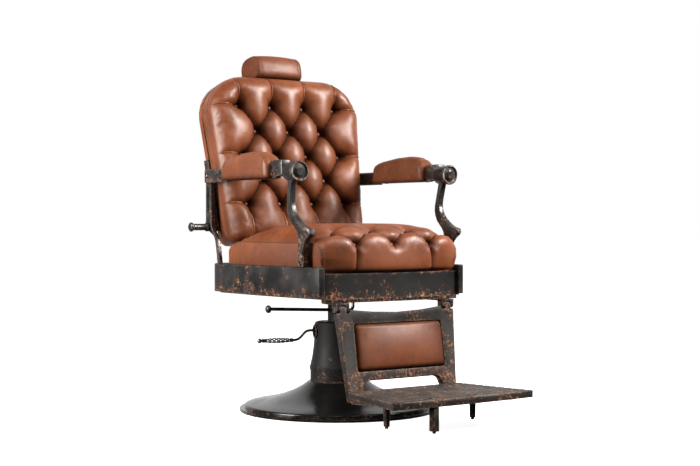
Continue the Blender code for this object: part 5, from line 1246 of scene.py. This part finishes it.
# %% Stuff the seat
seam_hold = 0.015
front_hold, below_buttons, hold_over = 0.8, 0.010, 0.02
pleat_gap = gap_to_pleats(x, along, seat_pleats)
edge_gap = np.minimum(off_ends, half - np.abs(x))
flat_front = front_hold * np.clip((front_row - below_buttons - along) / hold_over, 0, 1)
sewn_down = np.clip(np.maximum(1 - pleat_gap / pleat_hold, 1 - edge_gap / seam_hold), 0, 1)
held = np.ones(len(seat_cover.data.vertices))
held[:rows * columns] = np.maximum(flat_front, sewn_down).ravel()
stuff(seat_cover, held, (rows, columns), pressure=40.0, cap=0.008, spare=0.025)
smoother(seat_cover)
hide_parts("seat_cushion")
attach(seat_cover, "seat")
print("seat held at", int((held > 0).sum()), "of", len(held), "points")

# %% [markdown]
# ## Buttons of the seat
# The seat's buttons are a little larger than the back's. They could all face up, but the skin bends over the front
# edge, and those in the first row would stand on their rims. So each button faces along the skin's own normal, and a
# ray sent back along it finds the leather.

# %% Button the seat
seat_button_lift, seat_button_radius, ray_start = 0.0040, 0.0068, 0.05
skin = surface_of(seat_cover)
buttons = bmesh.new()
for bx, s in seat_buttons:
    half_here = seat_point(np.array([0.0]), np.array([s]))[3][0]
    px, py, pz, _ = (float(v[0]) for v in seat_point(np.array([bx / half_here]), np.array([s])))
    ahead_y, ahead_z = on_line(middle_line, s + half_step)
    behind_y, behind_z = on_line(middle_line, s - half_step)
    outward = Vector((0.0, -(ahead_z - behind_z), ahead_y - behind_y)).normalized()
    hit = skin.ray_cast(Vector((px, py, pz)) + outward * ray_start, -outward)[0]
    dome_button(buttons, hit + outward * seat_button_lift, outward, seat_button_radius, button_height)
seat_domes = finish_mesh("seat_buttons", buttons, dark_cognac)
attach(seat_domes, "seat")
print("buttons on the seat:", len(seat_domes.data.vertices), "points")

# %% [markdown]
# ## Seams of the seat
# A welt runs along each side, between the top panel and the boxing. At each front corner the panel and the boxing
# meet in a curved gusset seam. The welt can follow the side profile exactly. The gusset seam is bent between
# two given ends and laid onto the nearest leather.

# %% Sew the seat
side_welt_radius, welt_sink, welt_end = 0.0017, 0.0004, 0.02
gusset_radius, gusset_bend = 0.0013, Vector((0.0, -0.030, 0.022))
gusset_ends = ((0.256, -0.212, 0.513), (0.242, -0.284, 0.438))
sides = ((-1, "right"), (1, "left"))
seat_seams = []
for side, label in sides:
    line = []
    for t in np.linspace(0.0, 1.0, 40):
        s = front_row - welt_end + (seat_length - welt_end - front_row) * t
        px, py, pz, _ = (float(v[0]) for v in seat_point(np.array([side * 1.0]), np.array([s])))
        line.append((px - side * welt_sink, py, pz))
    seat_seams.append(welt("seat_side_welt_" + label, line, side_welt_radius, dark_cognac))
for side, label in sides:
    top, foot = (Vector((side * out, back, up)) for out, back, up in gusset_ends)
    line = []
    for t in np.linspace(0.0, 1.0, 24):
        near = top.lerp(foot, t) + gusset_bend * 4 * t * (1 - t)
        line.append(tuple(skin.find_nearest(near)[0]))
    seat_seams.append(welt("seat_gusset_seam_" + label, line, gusset_radius, dark_cognac))
for seam in seat_seams:
    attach(seam, "seat")
print("seat sewn:", [s.name for s in seat_seams])

# %% [markdown]
# ## Pads: arms, headrest and calf
# The smaller pads could be stuffed like the cushions, but a simulated bag would lose the flat underside that sits
# on the iron. So the arm pads and the headrest are lofts: a closed section carried along the pad and changed a
# little at every station.

# %% A helper for lofted pads
def loft(name, sections, finish):
    mesh = bmesh.new()
    loops = [[mesh.verts.new(p) for p in section] for section in sections]
    count = len(loops[0])
    for one, two in zip(loops, loops[1:]):
        for k in range(count):
            mesh.faces.new((one[k], one[(k + 1) % count], two[(k + 1) % count], two[k]))
    mesh.faces.new(list(reversed(loops[0])))
    mesh.faces.new(loops[-1])
    made = finish_mesh(name, mesh, finish)
    wax_and_shade = made.data.attributes.new("wax_and_shade", "FLOAT", "POINT")
    return made, wax_and_shade


def share_of(value):
    return min(1.0, max(0.0, value))


print("pad helpers ready:", loft.__name__, "and", share_of.__name__)

# %% [markdown]
# ## Cutting and seaming a pad
# An arm pad has a groove for its iron bar. The groove could be part of the slices, but it widens suddenly at the rear.
# A boolean cut with a plain box is simpler, and the result is kept as a mesh. The seam near each end of a pad is found
# with rays: sent inwards from a wide circle, they land on the leather in one plane, and a cord joins those places.

# %% Helpers for cuts and seams
def cut_away(pad, boxes):
    for low, high in boxes:
        mesh = bmesh.new()
        bmesh.ops.create_cube(mesh, size=1.0)
        for vert in mesh.verts:
            vert.co = Vector(((low[i] + high[i]) / 2 + vert.co[i] * (high[i] - low[i]) for i in range(3)))
        tool = finish_mesh("cutting_box", mesh, cognac)
        cut = pad.modifiers.new("clearance", "BOOLEAN")
        cut.object = tool
        cut.solver = "EXACT"
        data = bpy.data.meshes.new_from_object(pad.evaluated_get(bpy.context.evaluated_depsgraph_get()))
        pad.modifiers.remove(cut)
        pad.data = data
        bpy.data.objects.remove(tool)


def ring_seam(name, cover, centre, axis_u, axis_v, finish, thickness, radius=0.2, count=60):
    """A stitched seam laid round a pad, in the plane of the two axes through its centre."""
    tree = surface_of(cover)
    line = []
    for k in range(count):
        angle = 2 * math.pi * k / count
        way = axis_u * math.cos(angle) + axis_v * math.sin(angle)
        hit = tree.ray_cast(centre + way * radius, -way)[0]
        if hit is not None:
            line.append(tuple(hit))
    return welt(name, line, thickness, finish, closed=True)


print("cut and seam helpers ready:", cut_away.__name__, "and", ring_seam.__name__)

# %% [markdown]
# ## A slice of an arm pad
# An arm pad stands highest a third of the way back from its front, and falls away to the rear. Its slice is a
# rounded box: full at the crown, squarer at the foot where the leather is tacked under. A box would need a different
# bevel at every corner. Powers of the sine and the cosine give both with one formula.

# %% Slice an arm pad
pad_front, pad_rear, pad_low = -0.086, 0.176, 0.7037
pad_half, arm_x = 0.031, 0.288
pad_stations = [0, 0.06, 0.16, 0.30, 0.55, 0.85, 1.0]
pad_tops = [0.752, 0.771, 0.7825, 0.787, 0.7845, 0.775, 0.764]
end_run, end_width, foot_lift, widest = 0.07, 0.65, 0.004, 0.42
crown_round, crown_rise, foot_square, foot_drop = 0.66, 0.74, 0.34, 0.35
pad_sides = 36


def arm_section(t, side):
    """One slice through an arm pad; t runs from the front end, 0, to the rear, 1."""
    y = pad_front + (pad_rear - pad_front) * t
    top = np.interp(t, pad_stations, pad_tops)
    ends = quarter_round(np.array(min(t / end_run, (1 - t) / end_run))) * (1 - end_width) + end_width
    width = pad_half * float(ends)
    foot = pad_low + foot_lift * (1 - float(ends))
    middle = foot + (top - foot) * widest
    points = []
    for k in range(pad_sides):
        angle = 2 * math.pi * (k + 0.5) / pad_sides
        c, s = math.cos(angle), math.sin(angle)
        px = width * math.copysign(abs(c) ** (crown_round if s > 0 else foot_square), c)
        crown, drop = (top - middle) * abs(s) ** crown_rise, (middle - foot) * abs(s) ** foot_drop
        pz = middle + crown if s > 0 else middle - drop
        points.append((side * arm_x + px, y, pz))
    return points


print("a slice has", len(arm_section(0.5, 1)), "points")

# %% [markdown]
# ## The arm pads
# Both pads come from the same slices. The left one, on the far side, gets painted shade all over, and the lower edge
# of each gets painted shade, darker towards the foot. A groove is cut for the arm bar and a wider one for the plate at
# its rear end, and a seam near each end shows where a separate round of leather is sewn on.

# %% Shape the arm pads
groove_half, groove_top, plate_half, plate_foot, plate_top = 0.0088, 0.7368, 0.02, 0.690, 0.7428
plate_reach, past_end, below_pad = 0.0112, 0.05, 0.03
shade_below, shade_over, under_shade, under_bend, left_pad_shade = 0.730, 0.026, 0.75, 1.6, 0.38
front_seam, rear_seam, seam_height, arm_seam_radius = -0.064, 0.152, 0.750, 0.0010
stations = (1 - np.cos(np.linspace(0, math.pi, 46))) / 2
arm_covers = []
for side, label in sides:
    pad, wax_and_shade = loft(label + "_arm_cover", [arm_section(float(t), side) for t in stations], cognac)
    # painted shade: all over on the left pad, and towards the foot of each
    pad_shade = left_pad_shade if side > 0 else 0.0
    depths = [share_of((shade_below - v.co.z) / shade_over) for v in pad.data.vertices]
    wax_and_shade.data.foreach_set("value", [max(pad_shade, under_shade * depth_here ** under_bend) for depth_here in depths])
    x = side * arm_x
    groove = ((x - groove_half, pad_front - past_end, pad_low - below_pad),
              (x + groove_half, pad_rear + past_end, groove_top))
    plate_room = ((x - plate_half, pad_rear - plate_reach, plate_foot),
                  (x + plate_half, pad_rear + past_end, plate_top))
    cut_away(pad, [groove, plate_room])
    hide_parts(label + "_arm_pad")
    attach(pad, "seat")
    for where, y in (("front", front_seam), ("rear", rear_seam)):
        seam = ring_seam(label + "_arm_" + where + "_seam", pad, Vector((x, y, seam_height)),
                         Vector((1, 0, 0)), Vector((0, 0, 1)), dark_cognac, arm_seam_radius)
        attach(seam, "seat")
    arm_covers.append(pad)
print("arm covers:", [len(p.data.vertices) for p in arm_covers])

# %% [markdown]
# ## A slice of the headrest
# The headrest is a short bolster. Its slices are rounded like the arm pad's, fuller in the middle, and pinched where
# the end seams pull the leather in. A cylinder with a bend could come close, but it has no flat foot. The slices are
# worked out in the leaning frame of the back, because the headrest slides along it.

# %% Slice the headrest
pillow_half, pillow_front, pillow_rear, pillow_foot, pillow_top = 0.0885, -0.071, 0.046, 0.4825, 0.567
pillow_end, pillow_end_size, pillow_widest, pillow_sides = 0.14, 0.80, 0.44, 40
seam_at, pinch_depth, pinch_width, thinner_ends = 0.80, 0.035, 0.025, 0.10
bolster_round, bolster_rise, bolster_square, bolster_drop = 0.72, 0.86, 0.50, 0.45


def pillow_section(share):
    """One slice across the bolster, in the back's own frame; share runs from -1 to 1 along it."""
    ends = float(quarter_round(np.array((1 - abs(share)) / pillow_end))) * (1 - pillow_end_size) + pillow_end_size
    pinch = 1 - pinch_depth * math.exp(-((abs(share) - seam_at) / pinch_width) ** 2)
    fuller = 1 - thinner_ends * share ** 2
    points = []
    middle_n = (pillow_front + pillow_rear) / 2
    half_n = (pillow_rear - pillow_front) / 2 * ends * pinch * fuller
    middle_v = pillow_foot + (pillow_top - pillow_foot) * pillow_widest
    for k in range(pillow_sides):
        angle = 2 * math.pi * (k + 0.5) / pillow_sides
        c, s = math.cos(angle), math.sin(angle)
        n = middle_n + half_n * math.copysign(abs(c) ** (bolster_round if s > 0 else bolster_square), c)
        rise = (pillow_top - middle_v) * ends * pinch * fuller * abs(s) ** bolster_rise
        v = middle_v + rise if s > 0 else middle_v - (middle_v - pillow_foot) * abs(s) ** bolster_drop
        points.append((pillow_half * share, n, v))
    return [tuple(in_the_chair(px, n, v)) for px, n, v in points]


print("a slice of the headrest has", len(pillow_section(0.0)), "points")

# %% [markdown]
# ## The headrest
# The bolster is lofted from those slices. Hair and hands have rubbed it matt all over, its end rounds are darker, and
# its underside gets painted shade. Three shades could be painted as three pieces, but taking the largest of three
# numbers at each point blends them.

# %% Shape the headrest pillow
all_over, end_dark, end_fade, pillow_under_shade, under_share = 0.10, 0.45, 0.08, 0.90, 0.45
seam_out, seam_up, headrest_seam_radius = -0.010, 0.518, 0.0012
shares = np.sin(np.linspace(-math.pi / 2, math.pi / 2, 56))
pillow, wax_and_shade = loft("headrest_cover", [pillow_section(float(s)) for s in shares], matt_cognac)
low_edge, high_edge = min(v.co.z for v in pillow.data.vertices), max(v.co.z for v in pillow.data.vertices)


def pillow_shade(place):
    at_end = end_dark * share_of((abs(place.x) / pillow_half - seam_at) / end_fade)
    height = (place.z - low_edge) / (high_edge - low_edge)
    # painted shade on the underside
    return max(all_over, at_end, pillow_under_shade * share_of((under_share - height) / under_share))


wax_and_shade.data.foreach_set("value", [pillow_shade(v.co) for v in pillow.data.vertices])
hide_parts("headrest_pillow")
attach(pillow, "headrest")
lean_up = Vector(in_the_chair(0.0, 0.0, 1.0)) - pivot
for where, share_here in (("right", -seam_at), ("left", seam_at)):
    middle = Vector(in_the_chair(pillow_half * share_here, seam_out, seam_up))
    seam = ring_seam("headrest_seam_" + where, pillow, middle, lean_out, lean_up, dark_cognac, headrest_seam_radius)
    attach(seam, "headrest")
print("headrest cover:", len(pillow.data.vertices), "points")

# %% [markdown]
# ## The calf pad
# The pad behind the sitter's calves is a plain panel with rounded corners, set into the iron frame of the footrest.
# Its edge rolls over quickly and its middle is slightly domed. A beveled block would have the roll but not the dome,
# so it is a grid again, in the leaning frame of the footrest, and its border goes down into the frame.

# %% Shape the calf pad
hinge = Vector((0.0, -0.2865, 0.331))
foot_lean = math.radians(9)
calf_half, calf_low, calf_high = 0.1575, -0.181, -0.048
frame_face, calf_rise, calf_roll, roll_reach, calf_crown = 0.010, 0.015, 0.011, 0.013, 0.009
corner = 0.014


def on_the_footrest(x, out, up):
    return np.stack([x, hinge.y + out * math.cos(foot_lean) + up * math.sin(foot_lean),
                     hinge.z - out * math.sin(foot_lean) + up * math.cos(foot_lean)], axis=-1)


edge_run = np.sin(np.linspace(-math.pi / 2, math.pi / 2, 60))
u, w = np.meshgrid(edge_run, edge_run)
up = calf_low + (calf_high - calf_low) * (w + 1) / 2
off_up = np.minimum(up - calf_low, calf_high - up)
rounded = corner - np.sqrt(np.maximum(corner ** 2 - np.maximum(corner - off_up, 0) ** 2, 0))
x = u * (calf_half - rounded)
off_x = calf_half - np.abs(x)
both_near = np.hypot(np.maximum(corner - off_x, 0), np.maximum(corner - off_up, 0))
edge = np.minimum(np.minimum(off_x, off_up), corner - both_near)
crown = (1 - (x / calf_half) ** 2) * (1 - w ** 2)
rolled = quarter_round(np.maximum(edge, 0) / roll_reach)
calf_out = frame_face - calf_rise - calf_roll * rolled - calf_crown * crown
calf_skin = on_the_footrest(x, calf_out, up)
print("calf pad stands", round(float(-calf_out.min()) * 1000, 1), "mm out of its hinge line")

# %% [markdown]
# ## Fitting the calf pad
# The panel could end at its visible edge, but then a gap would show beside the frame. So its border goes straight back
# to the board. The pad is a little darker all over, and painted shade darkens its edges and the border inside the
# frame, so the number per point grows towards the border.

# %% Fit the calf pad
rim_shade, rim_width, calf_all_over_dark, edge_shade, frame_shade = 0.7, 0.004, 0.12, 0.50, 0.6


def into_the_frame(border):
    out = (border[:, 1] - hinge.y) * math.cos(foot_lean) - (border[:, 2] - hinge.z) * math.sin(foot_lean)
    up = (border[:, 1] - hinge.y) * math.sin(foot_lean) + (border[:, 2] - hinge.z) * math.cos(foot_lean)
    # painted shade on the border inside the frame
    return [(on_the_footrest(border[:, 0], out + (frame_face - out) * t, up), frame_shade) for t in (0.5, 1.0)]


# painted shade at the rim and towards the border, on a pad a little darker all over
calf_tone_and_shade = np.maximum(np.clip(1 - edge / rim_width, 0, 1) * rim_shade, calf_all_over_dark + edge_shade * (1 - crown) ** 3)
calf_cover = grid_piece("calf_cover", calf_skin, calf_tone_and_shade, into_the_frame)
calf_cover.data.materials.append(cognac)
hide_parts("calf_pad")
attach(calf_cover, "footrest")
print("calf cover:", len(calf_cover.data.vertices), "points")
